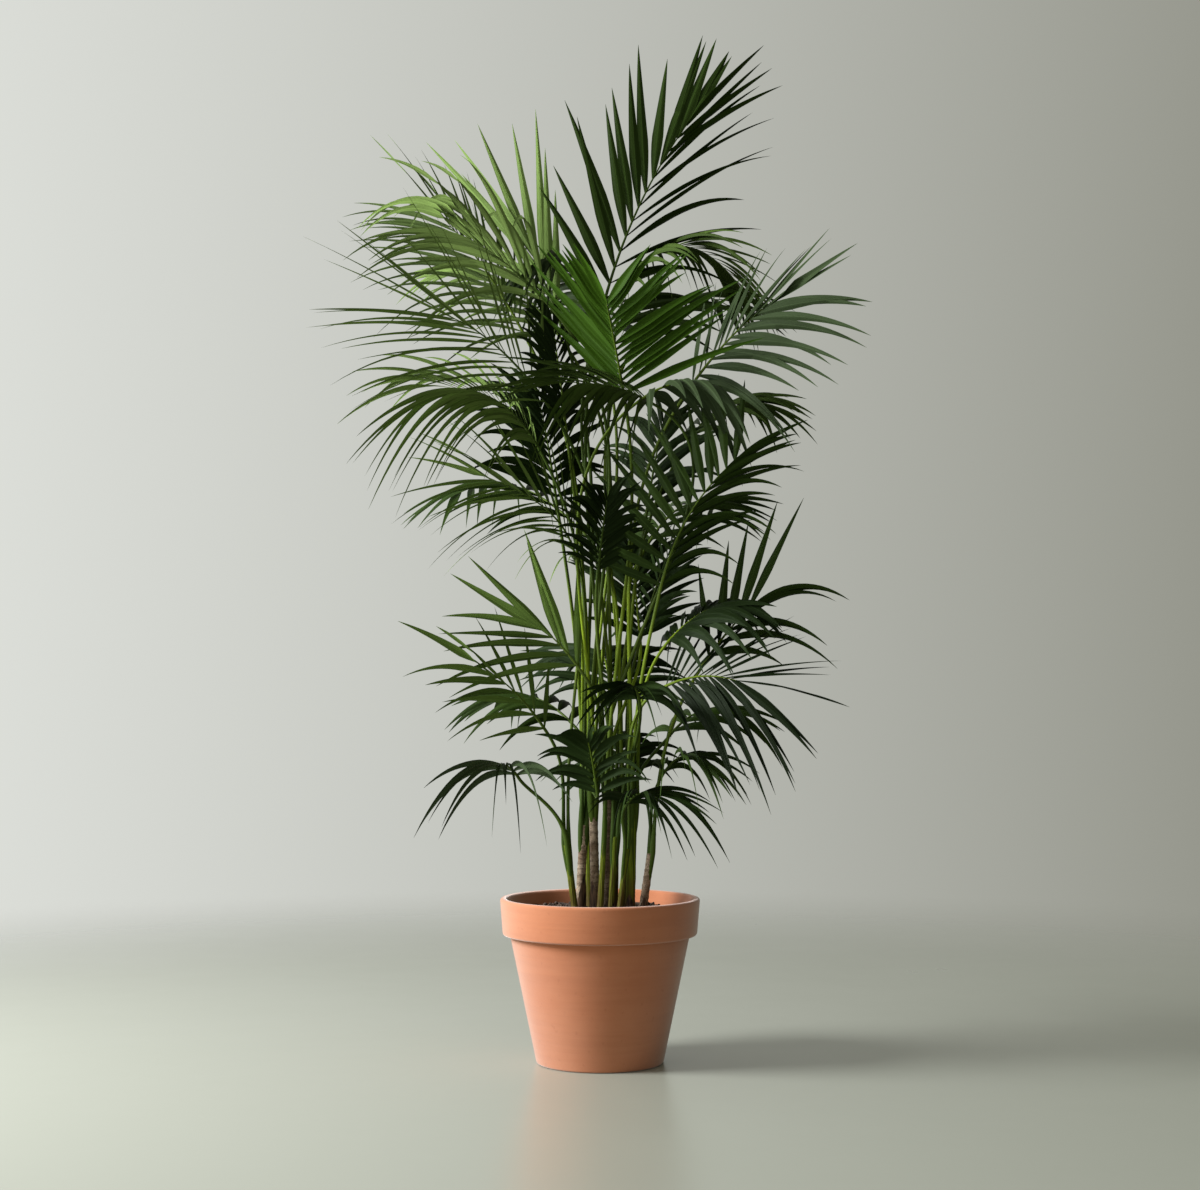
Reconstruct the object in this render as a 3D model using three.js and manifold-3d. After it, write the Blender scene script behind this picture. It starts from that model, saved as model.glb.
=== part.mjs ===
// Kentia palm in a terracotta pot, as a three.js scene graph.
// Millimetres, +Z up, +X to the right and -Y to the front. The pot stands on Z = 0.

import * as THREE from "three";
import Module from "manifold-3d";

const wasm = await Module();
wasm.setup();

// ---- Driving dimensions ----

const gap = 0.3;             // clear distance between pieces that touch
const clearance = 0.8;       // least distance between different fronds
const up = new THREE.Vector3(0, 0, 1);

const potHeight = 295;
const baseRadius = 115.5;
const shoulderRadius = 164;  // the body just under the rim band
const bandFootRadius = 177;
const rimRadius = 182.5;
const bandHeight = 66;
const edgeRound = 4;
const rimRound = 6;
const wall = 13;
const floorThickness = 14;
const soilLevel = 272;
const potSides = 40;

const caneSides = 10;
const flare = 1.25;          // a cane is this much thicker at the soil
const flareShare = 0.12;     // over this share of its height

const stalkRadius = 3.8;     // a stalk where it leaves its cane, to the corners of its section
const neckRadius = 3.2;      // the same stalk at its first leaflets
const ribEndRadius = 1.5;
const stalkSteps = 8;
const ribSteps = 7;
const plumbShare = 0.6;      // how far a stalk turns from the lean of its cane to plumb
const lowerArm = 0.45;       // reach of the two ends of a stalk's curve, as shares of its span
const upperArm = 0.35;
const bowStep = 7;           // a crowded stalk bows aside by steps of this size
const bowSteps = 8;
const bowBearings = 12;
const bowShare = 0.5;        // what is left of the bow at the upper end of the curve

const rootLength = 7;        // the length of rib that a leaflet grows from
const firstPair = 0.4;       // the first and last pair stand this share of a step from the rib's ends
const leafDepth = 3.2;
const slimness = 95;         // a leaflet is at least its length over this deep
const longestAt = 0.35;      // the share of the rib where leaflets reach their full length
const risePower = 2;         // how their length grows up to there
const fallPower = 1.6;       // and how it falls from there to the tip
const droopPower = 2.2;      // a leaflet starts straight and falls more and more
const smallStep = 0.01;      // from one place on a leaflet to the next, to find its direction
const bentDroop = 0.3;       // leaflets that droop more than this have one section more
const straightSections = [[0.42, 1]];              // share of the length, share of the width
const bentSections = [[0.34, 1], [0.68, 0.56]];
const sweepScatter = 8;      // degrees
const lengthScatter = 0.14;
const droopScatter = 0.5;
const lengthSeries = 50;     // each scattered value has its own series of numbers
const droopSeries = 100;

const barkColour = 0x6d5a45;
const sheathColour = 0x4d6a2a;
const terracotta = 0xc07f5e;
const soilColour = 0x3a2d24;
const leafGreen = 0x2c4f24;

// A cane goes from its foot on the soil to a flat top, where its stalks stand.
const canes = [
  { foot: [-45, -36], top: [-60, -38, 393], footRadius: 6.5, topRadius: 6.5, colour: sheathColour },
  { foot: [-37, -12], top: [-29, -10, 428], footRadius: 8.5, topRadius: 8, colour: barkColour },
  { foot: [-8, -20], top: [-13, -20, 488], footRadius: 8.5, topRadius: 8, colour: barkColour },
  { foot: [0, -54], top: [8, -52, 418], footRadius: 6, topRadius: 4.5, colour: sheathColour },
  { foot: [20, -38], top: [28, -36, 408], footRadius: 6, topRadius: 6.5, colour: sheathColour },
  { foot: [34, -64], top: [48, -62, 388], footRadius: 5.5, topRadius: 4.5, colour: sheathColour },
  { foot: [54, -26], top: [60, -26, 463], footRadius: 9, topRadius: 8, colour: sheathColour },
  { foot: [76, -42], top: [92, -36, 378], footRadius: 8, topRadius: 7, colour: barkColour },
  { foot: [-18, 14], top: [-26, 20, 488], footRadius: 8, topRadius: 8, colour: sheathColour },
  { foot: [16, 4], top: [12, 6, 518], footRadius: 9, topRadius: 8, colour: barkColour },
  { foot: [46, 12], top: [52, 18, 458], footRadius: 8, topRadius: 8, colour: sheathColour },
  { foot: [26, 42], top: [28, 48, 468], footRadius: 8, topRadius: 8, colour: sheathColour },
  { foot: [-8, 46], top: [-14, 52, 468], footRadius: 8, topRadius: 8, colour: sheathColour },
];

// A frond's rib runs from neck to tip. arch lifts its middle and sway moves it to +X. roll turns the
// blade about the rib, in degrees. pairs and wide are the number and the width of its leaflets. leaf
// (their greatest length), fold (up out of the blade) and tilt (turn about their own length, front edge
// up) have a value for the right and one for the left. droop, the fall of a tip as a share of the
// length, has the first and last on the right, then on the left. sweep (angle to the rib) and ends
// (share of the full length) have one for the first pair and one for the last. bias is added to the
// sweep on the right and taken from it on the left.
const fronds = [
  { name: "top_right", cane: 10, neck: [6, 10, 1388], tip: [189, 60, 1781], arch: 12, sway: -18,
    roll: 82, pairs: 14, leaf: [345, 290], wide: 24, fold: [0, 0], droop: [0.34, 0.04, 0.02, 0],
    sweep: [40, 6], ends: [0.78, 0.5], bias: 0, tilt: [72, 8] },
  { name: "top_left", cane: 3, neck: [-97, 0, 1390], tip: [-247, 10, 1517], arch: 10, sway: 0,
    roll: -74, pairs: 7, leaf: [420, 290], wide: 24, fold: [6, 6], droop: [0.56, 0.5, 0.5, 0.4],
    sweep: [26, 14], ends: [1, 0.8], bias: 4, tilt: [8, 52] },
  { name: "top_left_tall", cane: 9, neck: [-79, 60, 1376], tip: [-133, 75, 1510], arch: 4, sway: 0,
    roll: -80, pairs: 5, leaf: [310, 310], wide: 19, fold: [5, 0], droop: [0, 0, 0.04, 0.08],
    sweep: [24, 9], ends: [0.6, 0.97], bias: -3, tilt: [18, 30] },
  { name: "left_mid", cane: 2, neck: [-96, -20, 1197], tip: [-270, -60, 1351], arch: 22, sway: 0,
    roll: -74, pairs: 10, leaf: [310, 310], wide: 14, fold: [4, 4], droop: [0.05, 0.04, 0.34, 0.1],
    sweep: [47, 10], ends: [0.6, 0.95], bias: -8, tilt: [30, 66] },
  { name: "left_droop", cane: 2, neck: [-113, -50, 1115], tip: [-273, -110, 1213], arch: 28, sway: 10,
    roll: -38, pairs: 13, leaf: [250, 250], wide: 18, fold: [5, 0], droop: [0.55, 0.5, 0.7, 0.6],
    sweep: [60, 22], ends: [0.6, 0.85], bias: 0, tilt: [30, 38] },
  { name: "left_low", cane: 1, neck: [-42, 5, 901], tip: [-203, -60, 1055], arch: 16, sway: 34,
    roll: -66, pairs: 12, leaf: [240, 240], wide: 16, fold: [5, 0], droop: [0.12, 0.12, 0.42, 0.25],
    sweep: [54, 18], ends: [0.75, 0.75], bias: -10, tilt: [20, 68] },
  { name: "low_left_upper", cane: 2, neck: [-36, -45, 708], tip: [-107, -40, 785], arch: 6, sway: 0,
    roll: -74, pairs: 5, leaf: [222, 222], wide: 21, fold: [0, 0], droop: [0, 0, 0.3, 0.16],
    sweep: [50, 8], ends: [0.85, 1], bias: -12, tilt: [8, 58] },
  { name: "low_left", cane: 1, neck: [-94, -40, 592], tip: [-194, -70, 700], arch: 12, sway: 0,
    roll: -62, pairs: 6, leaf: [190, 180], wide: 17, fold: [0, 0], droop: [0.1, 0.12, 0.34, 0.22],
    sweep: [60, 6], ends: [0.8, 1], bias: -8, tilt: [24, 50] },
  { name: "lowest_left", cane: 1, neck: [-147, -70, 516], tip: [-179, -140, 539], arch: 8, sway: 0,
    roll: 0, pairs: 5, leaf: [190, 190], wide: 18, fold: [8, 8], droop: [0.8, 0.6, 0.9, 0.8],
    sweep: [72, 22], ends: [0.75, 0.5], bias: 0, tilt: [22, 22] },
  { name: "right_behind", cane: 10, neck: [34, 52, 1428], tip: [274, 120, 1444], arch: 84, sway: 0,
    roll: 0, pairs: 15, leaf: [190, 190], wide: 14, fold: [5, 5], droop: [0.5, 0.4, 0.75, 0.6],
    sweep: [66, 26], ends: [0.8, 0.45], bias: 0, tilt: [30, 40] },
  { name: "right_out", cane: 7, neck: [167, 10, 1234], tip: [317, -30, 1385], arch: 15, sway: 0,
    roll: 66, pairs: 11, leaf: [232, 232], wide: 21, fold: [0, 6], droop: [0.55, 0.1, 0.2, 0.02],
    sweep: [50, 14], ends: [0.8, 0.85], bias: 12, tilt: [18, 38] },
  { name: "front_bright", cane: 4, neck: [44, -60, 1207], tip: [11, -150, 1360], arch: 5, sway: 0,
    roll: 20, pairs: 13, leaf: [258, 258], wide: 19, fold: [50, 0], droop: [0.05, 0.05, 0.1, 0.08],
    sweep: [60, 36], ends: [1, 0.45], bias: -8, tilt: [42, 34] },
  { name: "right_front", cane: 7, neck: [109, -60, 853], tip: [251, -60, 1093], arch: 16, sway: -18,
    roll: 74, pairs: 14, leaf: [215, 215], wide: 19, fold: [0, 0], droop: [0.6, 0.16, 0.05, 0],
    sweep: [60, 24], ends: [0.75, 0.7], bias: -18, tilt: [55, 8] },
  { name: "right_far", cane: 8, neck: [193, 0, 724], tip: [280, 0, 827], arch: 6, sway: 0,
    roll: 64, pairs: 5, leaf: [235, 235], wide: 20, fold: [0, 4], droop: [0.45, 0.34, 0.02, 0.03],
    sweep: [44, 8], ends: [0.55, 1], bias: -4, tilt: [45, 6] },
  { name: "right_fan", cane: 6, neck: [115, -60, 677], tip: [246, -100, 687], arch: 14, sway: 0,
    roll: 52, pairs: 12, leaf: [212, 212], wide: 17, fold: [0, 0], droop: [0.42, 0.3, 0.12, 0.1],
    sweep: [68, 22], ends: [0.72, 0.85], bias: 2, tilt: [20, 30] },
  { name: "low_right", cane: 6, neck: [46, -84, 465], tip: [88, -132, 485], arch: 12, sway: 0,
    roll: 0, pairs: 6, leaf: [175, 175], wide: 15, fold: [5, 5], droop: [0.7, 0.65, 0.8, 0.7],
    sweep: [64, 24], ends: [0.75, 0.5], bias: 0, tilt: [26, 26] },
  { name: "low_right_back", cane: 8, neck: [113, -10, 516], tip: [170, -40, 549], arch: 16, sway: 0,
    roll: 0, pairs: 7, leaf: [185, 185], wide: 13, fold: [5, 5], droop: [0.8, 0.6, 0.7, 0.6],
    sweep: [62, 24], ends: [0.75, 0.5], bias: 0, tilt: [26, 26] },
  { name: "crest_back", cane: 9, neck: [-15, 110, 1388], tip: [-100, 60, 1483], arch: 35, sway: 0,
    roll: 0, pairs: 9, leaf: [170, 170], wide: 18, fold: [5, 5], droop: [0.9, 0.9, 0.9, 0.9],
    sweep: [64, 28], ends: [0.75, 0.5], bias: 0, tilt: [26, 26] },
  { name: "centre_front", cane: 3, neck: [91, -70, 1194], tip: [-32, -150, 1213], arch: 10, sway: 0,
    roll: -35, pairs: 10, leaf: [215, 215], wide: 18, fold: [4, 4], droop: [0.35, 0.3, 0.65, 0.55],
    sweep: [60, 20], ends: [0.75, 0.7], bias: 0, tilt: [25, 40] },
  { name: "right_back", cane: 11, neck: [170, 80, 1148], tip: [300, 140, 1223], arch: 30, sway: 0,
    roll: 0, pairs: 10, leaf: [190, 190], wide: 16, fold: [5, 5], droop: [0.45, 0.45, 0.5, 0.5],
    sweep: [60, 25], ends: [0.75, 0.5], bias: 0, tilt: [26, 26] },
  { name: "centre_back", cane: 10, neck: [75, 60, 768], tip: [55, 160, 953], arch: 20, sway: 0,
    roll: 0, pairs: 10, leaf: [180, 180], wide: 18, fold: [8, 8], droop: [0.25, 0.25, 0.25, 0.25],
    sweep: [55, 22], ends: [0.75, 0.5], bias: 0, tilt: [26, 26] },
  { name: "centre_low", cane: 5, neck: [70, -90, 653], tip: [55, -160, 673], arch: 12, sway: 0,
    roll: 0, pairs: 6, leaf: [130, 130], wide: 19, fold: [5, 5], droop: [0.7, 0.7, 0.7, 0.7],
    sweep: [64, 25], ends: [0.75, 0.5], bias: 0, tilt: [26, 26] },
  { name: "low_centre", cane: 3, neck: [-4, -74, 482], tip: [-21, -114, 579], arch: 8, sway: 0,
    roll: 8, pairs: 6, leaf: [140, 140], wide: 19, fold: [5, 5], droop: [0.55, 0.4, 0.6, 0.4],
    sweep: [62, 22], ends: [0.75, 0.5], bias: 0, tilt: [24, 24] },
  { name: "left_back", cane: 9, neck: [-136, 70, 1332], tip: [-287, 90, 1561], arch: 16, sway: 0,
    roll: -68, pairs: 12, leaf: [250, 250], wide: 13, fold: [4, 4], droop: [0.2, 0.16, 0.52, 0.25],
    sweep: [44, 14], ends: [0.75, 0.92], bias: -6, tilt: [40, 45] },
  { name: "right_dark", cane: 7, neck: [124, -20, 760], tip: [229, 10, 831], arch: 12, sway: 0,
    roll: 8, pairs: 7, leaf: [165, 165], wide: 25, fold: [4, 4], droop: [0.6, 0.5, 0.6, 0.5],
    sweep: [70, 30], ends: [0.8, 0.7], bias: 0, tilt: [20, 20] },
  { name: "centre_dark", cane: 5, neck: [-4, -60, 885], tip: [13, -90, 1013], arch: 8, sway: 0,
    roll: 10, pairs: 8, leaf: [150, 150], wide: 15, fold: [5, 5], droop: [0.35, 0.3, 0.4, 0.3],
    sweep: [60, 24], ends: [0.75, 0.5], bias: 0, tilt: [26, 26] },
  { name: "right_hang", cane: 3, neck: [83, -100, 1200], tip: [186, -125, 1217], arch: 12, sway: 0,
    roll: 0, pairs: 4, leaf: [150, 150], wide: 26, fold: [0, 0], droop: [0.9, 0.9, 0.9, 0.9],
    sweep: [75, 40], ends: [1, 0.9], bias: 0, tilt: [12, 12] },
  { name: "inner_low", cane: 11, neck: [75, 45, 766], tip: [136, 85, 947], arch: 10, sway: 0,
    roll: 0, pairs: 7, leaf: [165, 165], wide: 18, fold: [4, 4], droop: [0.4, 0.35, 0.4, 0.35],
    sweep: [60, 24], ends: [0.75, 0.6], bias: 0, tilt: [26, 26] },
  { name: "inner_left", cane: 9, neck: [-82, 50, 1029], tip: [-114, 100, 1217], arch: 10, sway: 0,
    roll: 0, pairs: 7, leaf: [200, 200], wide: 21, fold: [4, 4], droop: [0.35, 0.3, 0.4, 0.3],
    sweep: [60, 24], ends: [0.75, 0.6], bias: 0, tilt: [26, 26] },
  { name: "inner_top", cane: 9, neck: [-63, 16, 1156], tip: [-90, 34, 1363], arch: 10, sway: 0,
    roll: 0, pairs: 7, leaf: [165, 165], wide: 18, fold: [4, 4], droop: [0.3, 0.25, 0.35, 0.3],
    sweep: [60, 24], ends: [0.75, 0.6], bias: 0, tilt: [26, 26] },
  { name: "low_back", cane: 12, neck: [41, 78, 509], tip: [31, 170, 582], arch: 10, sway: 0,
    roll: 0, pairs: 7, leaf: [170, 170], wide: 18, fold: [4, 4], droop: [0.5, 0.5, 0.5, 0.5],
    sweep: [60, 24], ends: [0.75, 0.6], bias: 0, tilt: [26, 26] },
  { name: "inner_right", cane: 12, neck: [87, 66, 1002], tip: [122, 112, 1190], arch: 10, sway: 0,
    roll: 0, pairs: 7, leaf: [175, 175], wide: 18, fold: [4, 4], droop: [0.4, 0.3, 0.35, 0.3],
    sweep: [60, 24], ends: [0.75, 0.6], bias: 0, tilt: [26, 26] },
  { name: "back_top_left", cane: 13, neck: [-60, 70, 1318], tip: [-270, 320, 1528], arch: 40, sway: 0,
    roll: 0, pairs: 10, leaf: [250, 250], wide: 20, fold: [5, 5], droop: [0.35, 0.35, 0.4, 0.4],
    sweep: [60, 25], ends: [0.75, 0.5], bias: 0, tilt: [26, 26] },
  { name: "back_top", cane: 12, neck: [25, 90, 1318], tip: [60, 350, 1458], arch: 50, sway: 0,
    roll: 0, pairs: 8, leaf: [250, 250], wide: 20, fold: [5, 5], droop: [0.35, 0.35, 0.35, 0.35],
    sweep: [60, 25], ends: [0.75, 0.5], bias: 0, tilt: [26, 26] },
  { name: "back_top_right", cane: 12, neck: [69, 95, 1337], tip: [268, 320, 1452], arch: 50, sway: 0,
    roll: 0, pairs: 8, leaf: [220, 220], wide: 19, fold: [5, 5], droop: [0.4, 0.4, 0.45, 0.45],
    sweep: [60, 25], ends: [0.75, 0.5], bias: 0, tilt: [26, 26] },
  { name: "back_mid_left", cane: 13, neck: [-50, 80, 988], tip: [-290, 300, 1068], arch: 45, sway: 0,
    roll: 0, pairs: 9, leaf: [220, 220], wide: 19, fold: [5, 5], droop: [0.4, 0.4, 0.45, 0.45],
    sweep: [60, 25], ends: [0.75, 0.5], bias: 0, tilt: [26, 26] },
  { name: "back_mid_right", cane: 11, neck: [90, 90, 948], tip: [230, 310, 1038], arch: 40, sway: 0,
    roll: 0, pairs: 9, leaf: [210, 210], wide: 19, fold: [5, 5], droop: [0.4, 0.4, 0.4, 0.4],
    sweep: [60, 25], ends: [0.75, 0.5], bias: 0, tilt: [26, 26] },
  { name: "back_low", cane: 12, neck: [23, 95, 655], tip: [-4, 260, 751], arch: 30, sway: 0,
    roll: 0, pairs: 8, leaf: [220, 220], wide: 20, fold: [5, 5], droop: [0.4, 0.4, 0.45, 0.45],
    sweep: [60, 25], ends: [0.75, 0.5], bias: 0, tilt: [26, 26] },
  { name: "back_low_left", cane: 13, neck: [-50, 80, 608], tip: [-190, 220, 658], arch: 25, sway: 0,
    roll: 0, pairs: 7, leaf: [180, 180], wide: 20, fold: [5, 5], droop: [0.5, 0.5, 0.5, 0.5],
    sweep: [60, 25], ends: [0.75, 0.5], bias: 0, tilt: [26, 26] },
  { name: "back_low_right", cane: 11, neck: [130, 70, 588], tip: [250, 220, 628], arch: 25, sway: 0,
    roll: 0, pairs: 7, leaf: [180, 180], wide: 20, fold: [5, 5], droop: [0.55, 0.55, 0.55, 0.55],
    sweep: [60, 25], ends: [0.75, 0.5], bias: 0, tilt: [26, 26] },
];

// ---- Small helpers ----

const vector = (values) => new THREE.Vector3(...values);
const mix = (a, b, t) => a + (b - a) * t;
const radians = THREE.MathUtils.degToRad;
const cross = (a, b) => new THREE.Vector3().crossVectors(a, b);
const squareTo = (side, along) => side.clone().addScaledVector(along, -side.dot(along)).normalize();

// An even scatter from -1 to 1, always the same for the same three numbers.
function scatter(i, j, k) {
  const wave = Math.sin(i * 12.9898 + j * 78.233 + k * 37.719) * 43758.5453;
  return 2 * (wave - Math.floor(wave)) - 1;
}

// A closed surface that grows face by face. A loop is a list of corners in order, and a corner may
// repeat in it, where the next loop is narrower.
class Surface {
  points = [];
  faces = [];

  place(ring) {
    return ring.map((point) => this.points.push(point) - 1);
  }

  face(a, b, c) {
    if (a !== b && b !== c && c !== a) this.faces.push([a, b, c]);
  }

  // Whether d lies outside the plane of the face a, b, c.
  isProud(a, b, c, d) {
    const [p, q, r, s] = [a, b, c, d].map((corner) => this.points[corner]);
    return cross(q.clone().sub(p), r.clone().sub(p)).dot(s.clone().sub(p)) > 0;
  }

  // The loops run to the left seen from ahead. Each four-sided piece of a wall is parted along the
  // line that leaves it bulging outwards, so a twisted limb keeps its thickness.
  wall(loop, next) {
    loop.forEach((a, i) => {
      const k = (i + 1) % loop.length;
      const [b, c, d] = [loop[k], next[k], next[i]];
      if (this.isProud(a, b, c, d)) {
        this.face(a, b, d);
        this.face(b, c, d);
      } else {
        this.face(a, b, c);
        this.face(a, c, d);
      }
    });
  }

  cap(loop) {
    for (let k = 1; k + 1 < loop.length; k++) this.face(loop[0], loop[k], loop[k + 1]);
  }

  geometry() {
    return new THREE.BufferGeometry().setFromPoints(this.points).setIndex(this.faces.flat());
  }
}

// A closed limb over rings of as many points each.
function limb(rings) {
  const surface = new Surface();
  const loops = rings.map((ring) => surface.place(ring));
  surface.cap([...loops[0]].reverse());
  for (let i = 0; i + 1 < loops.length; i++) surface.wall(loops[i], loops[i + 1]);
  surface.cap(loops[loops.length - 1]);
  return surface.geometry();
}

// A body to try for contact, with the box that holds it.
function tested(geometry) {
  const body = new wasm.Manifold(new wasm.Mesh({
    numProp: 3,
    vertProperties: geometry.getAttribute("position").array,
    triVerts: new Uint32Array(geometry.getIndex().array),
  }));
  return { body, box: body.boundingBox() };
}

function crowds(a, b) {
  const apart = [0, 1, 2].some((axis) => (
    Math.max(a.box.min[axis] - b.box.max[axis], b.box.min[axis] - a.box.max[axis]) > clearance));
  return !apart && a.body.minGap(b.body, clearance) < clearance;
}

// ---- Pot and soil ----

function lathed(profile) {
  const points = profile.map(([radius, height]) => new THREE.Vector2(radius, height));
  return new THREE.LatheGeometry(points, potSides).rotateX(Math.PI / 2);
}

// The inside of the pot is a straight taper from its floor to its rim.
function innerRadius(height) {
  const share = (height - floorThickness) / (potHeight - floorThickness);
  return mix(baseRadius - wall, rimRadius - wall, share);
}

function potGeometry() {
  const shoulderHeight = potHeight - bandHeight;
  return lathed([
    [0, 0],
    [baseRadius - edgeRound, 0],
    [baseRadius, edgeRound],
    [shoulderRadius, shoulderHeight - edgeRound],
    [bandFootRadius - edgeRound, shoulderHeight],
    [bandFootRadius, shoulderHeight + edgeRound],
    [rimRadius, potHeight - rimRound],
    [rimRadius - edgeRound, potHeight],
    [innerRadius(potHeight) + edgeRound, potHeight],
    [innerRadius(potHeight - edgeRound), potHeight - edgeRound],
    [innerRadius(floorThickness), floorThickness],
    [0, floorThickness],
  ]);
}

function soilGeometry() {
  const foot = floorThickness + gap;
  return lathed([
    [0, foot],
    [innerRadius(foot) - 2 * gap, foot],
    [innerRadius(soilLevel) - 2 * gap, soilLevel],
    [0, soilLevel],
  ]);
}

// ---- Canes ----

function caneGeometry(cane) {
  const foot = new THREE.Vector3(...cane.foot, soilLevel + gap);
  const top = vector(cane.top);
  const stations = [[0, cane.footRadius * flare], [flareShare, cane.footRadius], [1, cane.topRadius]];
  return limb(stations.map(([t, radius]) => {
    const centre = foot.clone().lerp(top, t);
    return Array.from({ length: caneSides }, (_, k) => {
      const angle = (2 * Math.PI * k) / caneSides;
      return centre.clone().add(new THREE.Vector3(radius * Math.cos(angle), radius * Math.sin(angle), 0));
    });
  }));
}

// ---- Spines: a frond's stalk and rib as one line of points with a radius at each ----

function ribCurve(frond) {
  const [neck, tip] = [vector(frond.neck), vector(frond.tip)];
  const bend = neck.clone().lerp(tip, 0.5).add(new THREE.Vector3(2 * frond.sway, 0, 2 * frond.arch));
  return new THREE.QuadraticBezierCurve3(neck, bend, tip);
}

// The stalks of a cane stand evenly round its top, each as near as can be to the side of its frond.
function seatsOn(cane, stalks) {
  const bearing = (frond) => Math.atan2(frond.neck[1] - cane.top[1], frond.neck[0] - cane.top[0]);
  const ordered = [...stalks].sort((a, b) => bearing(a) - bearing(b));
  const step = (2 * Math.PI) / ordered.length;
  const offsets = ordered.map((frond, i) => bearing(frond) - i * step);
  const sum = (values) => values.reduce((a, b) => a + b, 0);
  const turn = Math.atan2(sum(offsets.map(Math.sin)), sum(offsets.map(Math.cos)));
  const alone = ordered.length === 1;
  const seatRing = alone ? 0 : (stalkRadius + clearance) / Math.sin(Math.PI / ordered.length);
  return ordered.map((frond, i) => {
    const angle = turn + i * step;
    const beside = new THREE.Vector3(seatRing * Math.cos(angle), seatRing * Math.sin(angle), gap);
    return [frond.name, vector(cane.top).add(beside)];
  });
}

function spineOf(frond, seat, bow) {
  const cane = canes[frond.cane - 1];
  const rib = ribCurve(frond);
  const lean = vector(cane.top).sub(new THREE.Vector3(...cane.foot, soilLevel)).normalize();
  const start = lean.lerp(up, plumbShare).normalize();
  const span = rib.v0.distanceTo(seat);
  const lower = seat.clone().addScaledVector(start, lowerArm * span).add(bow);
  const upper = rib.v0.clone().addScaledVector(rib.getTangent(0), -upperArm * span)
    .addScaledVector(bow, bowShare);
  const stalk = new THREE.CubicBezierCurve3(seat, lower, upper, rib.v0);
  const points = [...stalk.getPoints(stalkSteps), ...rib.getPoints(ribSteps).slice(1)];
  const radii = points.map((_, i) => (i <= stalkSteps
    ? mix(stalkRadius, neckRadius, i / stalkSteps)
    : mix(neckRadius, ribEndRadius, (i - stalkSteps) / ribSteps)));
  return { points, radii, rib };
}

function barDistance(a0, a1, b0, b1) {
  const clamp = (value) => Math.min(1, Math.max(0, value));
  const [along, beside, between] = [a1.clone().sub(a0), b1.clone().sub(b0), a0.clone().sub(b0)];
  const [aa, bb, ab] = [along.dot(along), beside.dot(beside), along.dot(beside)];
  const [ar, br] = [along.dot(between), beside.dot(between)];
  const s = clamp((ab * br - ar * bb) / Math.max(aa * bb - ab * ab, 1e-9));
  const t = clamp((ab * s + br) / bb);
  const place = clamp((ab * t - ar) / aa);
  return between.addScaledVector(along, place).addScaledVector(beside, -t).length();
}

// The least distance between the faces of two lines of round bars.
function roomBetween(a, b) {
  let least = Infinity;
  for (let i = 0; i + 1 < a.points.length; i++) {
    for (let k = 0; k + 1 < b.points.length; k++) {
      const apart = barDistance(a.points[i], a.points[i + 1], b.points[k], b.points[k + 1]);
      least = Math.min(least, apart - a.radii[i] - b.radii[k]);
    }
  }
  return least;
}

// A stalk goes straight to its frond, or bows aside by the least that clears those before it.
function growSpines() {
  const caneBars = canes.map((cane) => ({
    points: [new THREE.Vector3(...cane.foot, soilLevel), vector(cane.top)],
    radii: [cane.footRadius, cane.topRadius],
  }));
  const stalksOn = (number) => fronds.filter((frond) => frond.cane === number);
  const seats = new Map(canes.flatMap((cane, i) => seatsOn(cane, stalksOn(i + 1))));
  const bows = [new THREE.Vector3()];
  for (let step = 1; step <= bowSteps; step++) {
    for (let k = 0; k < bowBearings; k++) {
      const angle = (2 * Math.PI * k) / bowBearings;
      bows.push(new THREE.Vector3(Math.cos(angle), Math.sin(angle), 0).multiplyScalar(step * bowStep));
    }
  }
  const grown = [];
  for (const frond of fronds) {
    const others = [...grown, ...caneBars.filter((_, i) => i + 1 !== frond.cane)];
    let best = null;
    for (const bow of bows) {
      const spine = spineOf(frond, seats.get(frond.name), bow);
      spine.room = Math.min(...others.map((other) => roomBetween(spine, other)));
      if (!best || spine.room > best.room) best = spine;
      if (best.room > clearance) break;
    }
    grown.push(best);
  }
  return grown;
}

// The corners of a square section: right top, right foot, left foot, left top.
function sectionAt({ root, along, across }, radius) {
  const above = cross(across, along);
  return [[1, 1], [1, -1], [-1, -1], [-1, 1]].map(([right, high]) => root.clone()
    .addScaledVector(across, right * radius * Math.SQRT1_2)
    .addScaledVector(above, high * radius * Math.SQRT1_2));
}

// A place on the rib, the rib's direction there and the two directions of the blade.
function frameAt(frond, rib, t) {
  const along = rib.getTangent(t);
  const across = cross(along, up).normalize().applyAxisAngle(along, radians(frond.roll));
  return { root: rib.getPoint(t), along, across, above: cross(across, along) };
}

// The share of the rib's length at which a pair of leaflets leaves it.
const pairPlace = (frond, pair) => (pair + firstPair) / (frond.pairs - 1 + 2 * firstPair);

// All sections of the bar from seat to tip. The rib has two for each pair, a root's length apart.
function barSections(frond, { points, radii, rib }) {
  const half = rootLength / 2 / rib.getLength();
  const shares = [0];
  for (let pair = 0; pair < frond.pairs; pair++) {
    shares.push(pairPlace(frond, pair) - half, pairPlace(frond, pair) + half);
  }
  shares.push(1);
  const { across } = frameAt(frond, rib, 0);
  const stalk = points.slice(0, stalkSteps).map((root, i) => {
    const along = i === 0 ? up : points[i + 1].clone().sub(points[i - 1]).normalize();
    return sectionAt({ root, along, across: squareTo(across, along) }, radii[i]);
  });
  const ribs = shares.map((t) => sectionAt(frameAt(frond, rib, t), mix(neckRadius, ribEndRadius, t)));
  return [...stalk, ...ribs];
}

// ---- Leaflets ----

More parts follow.
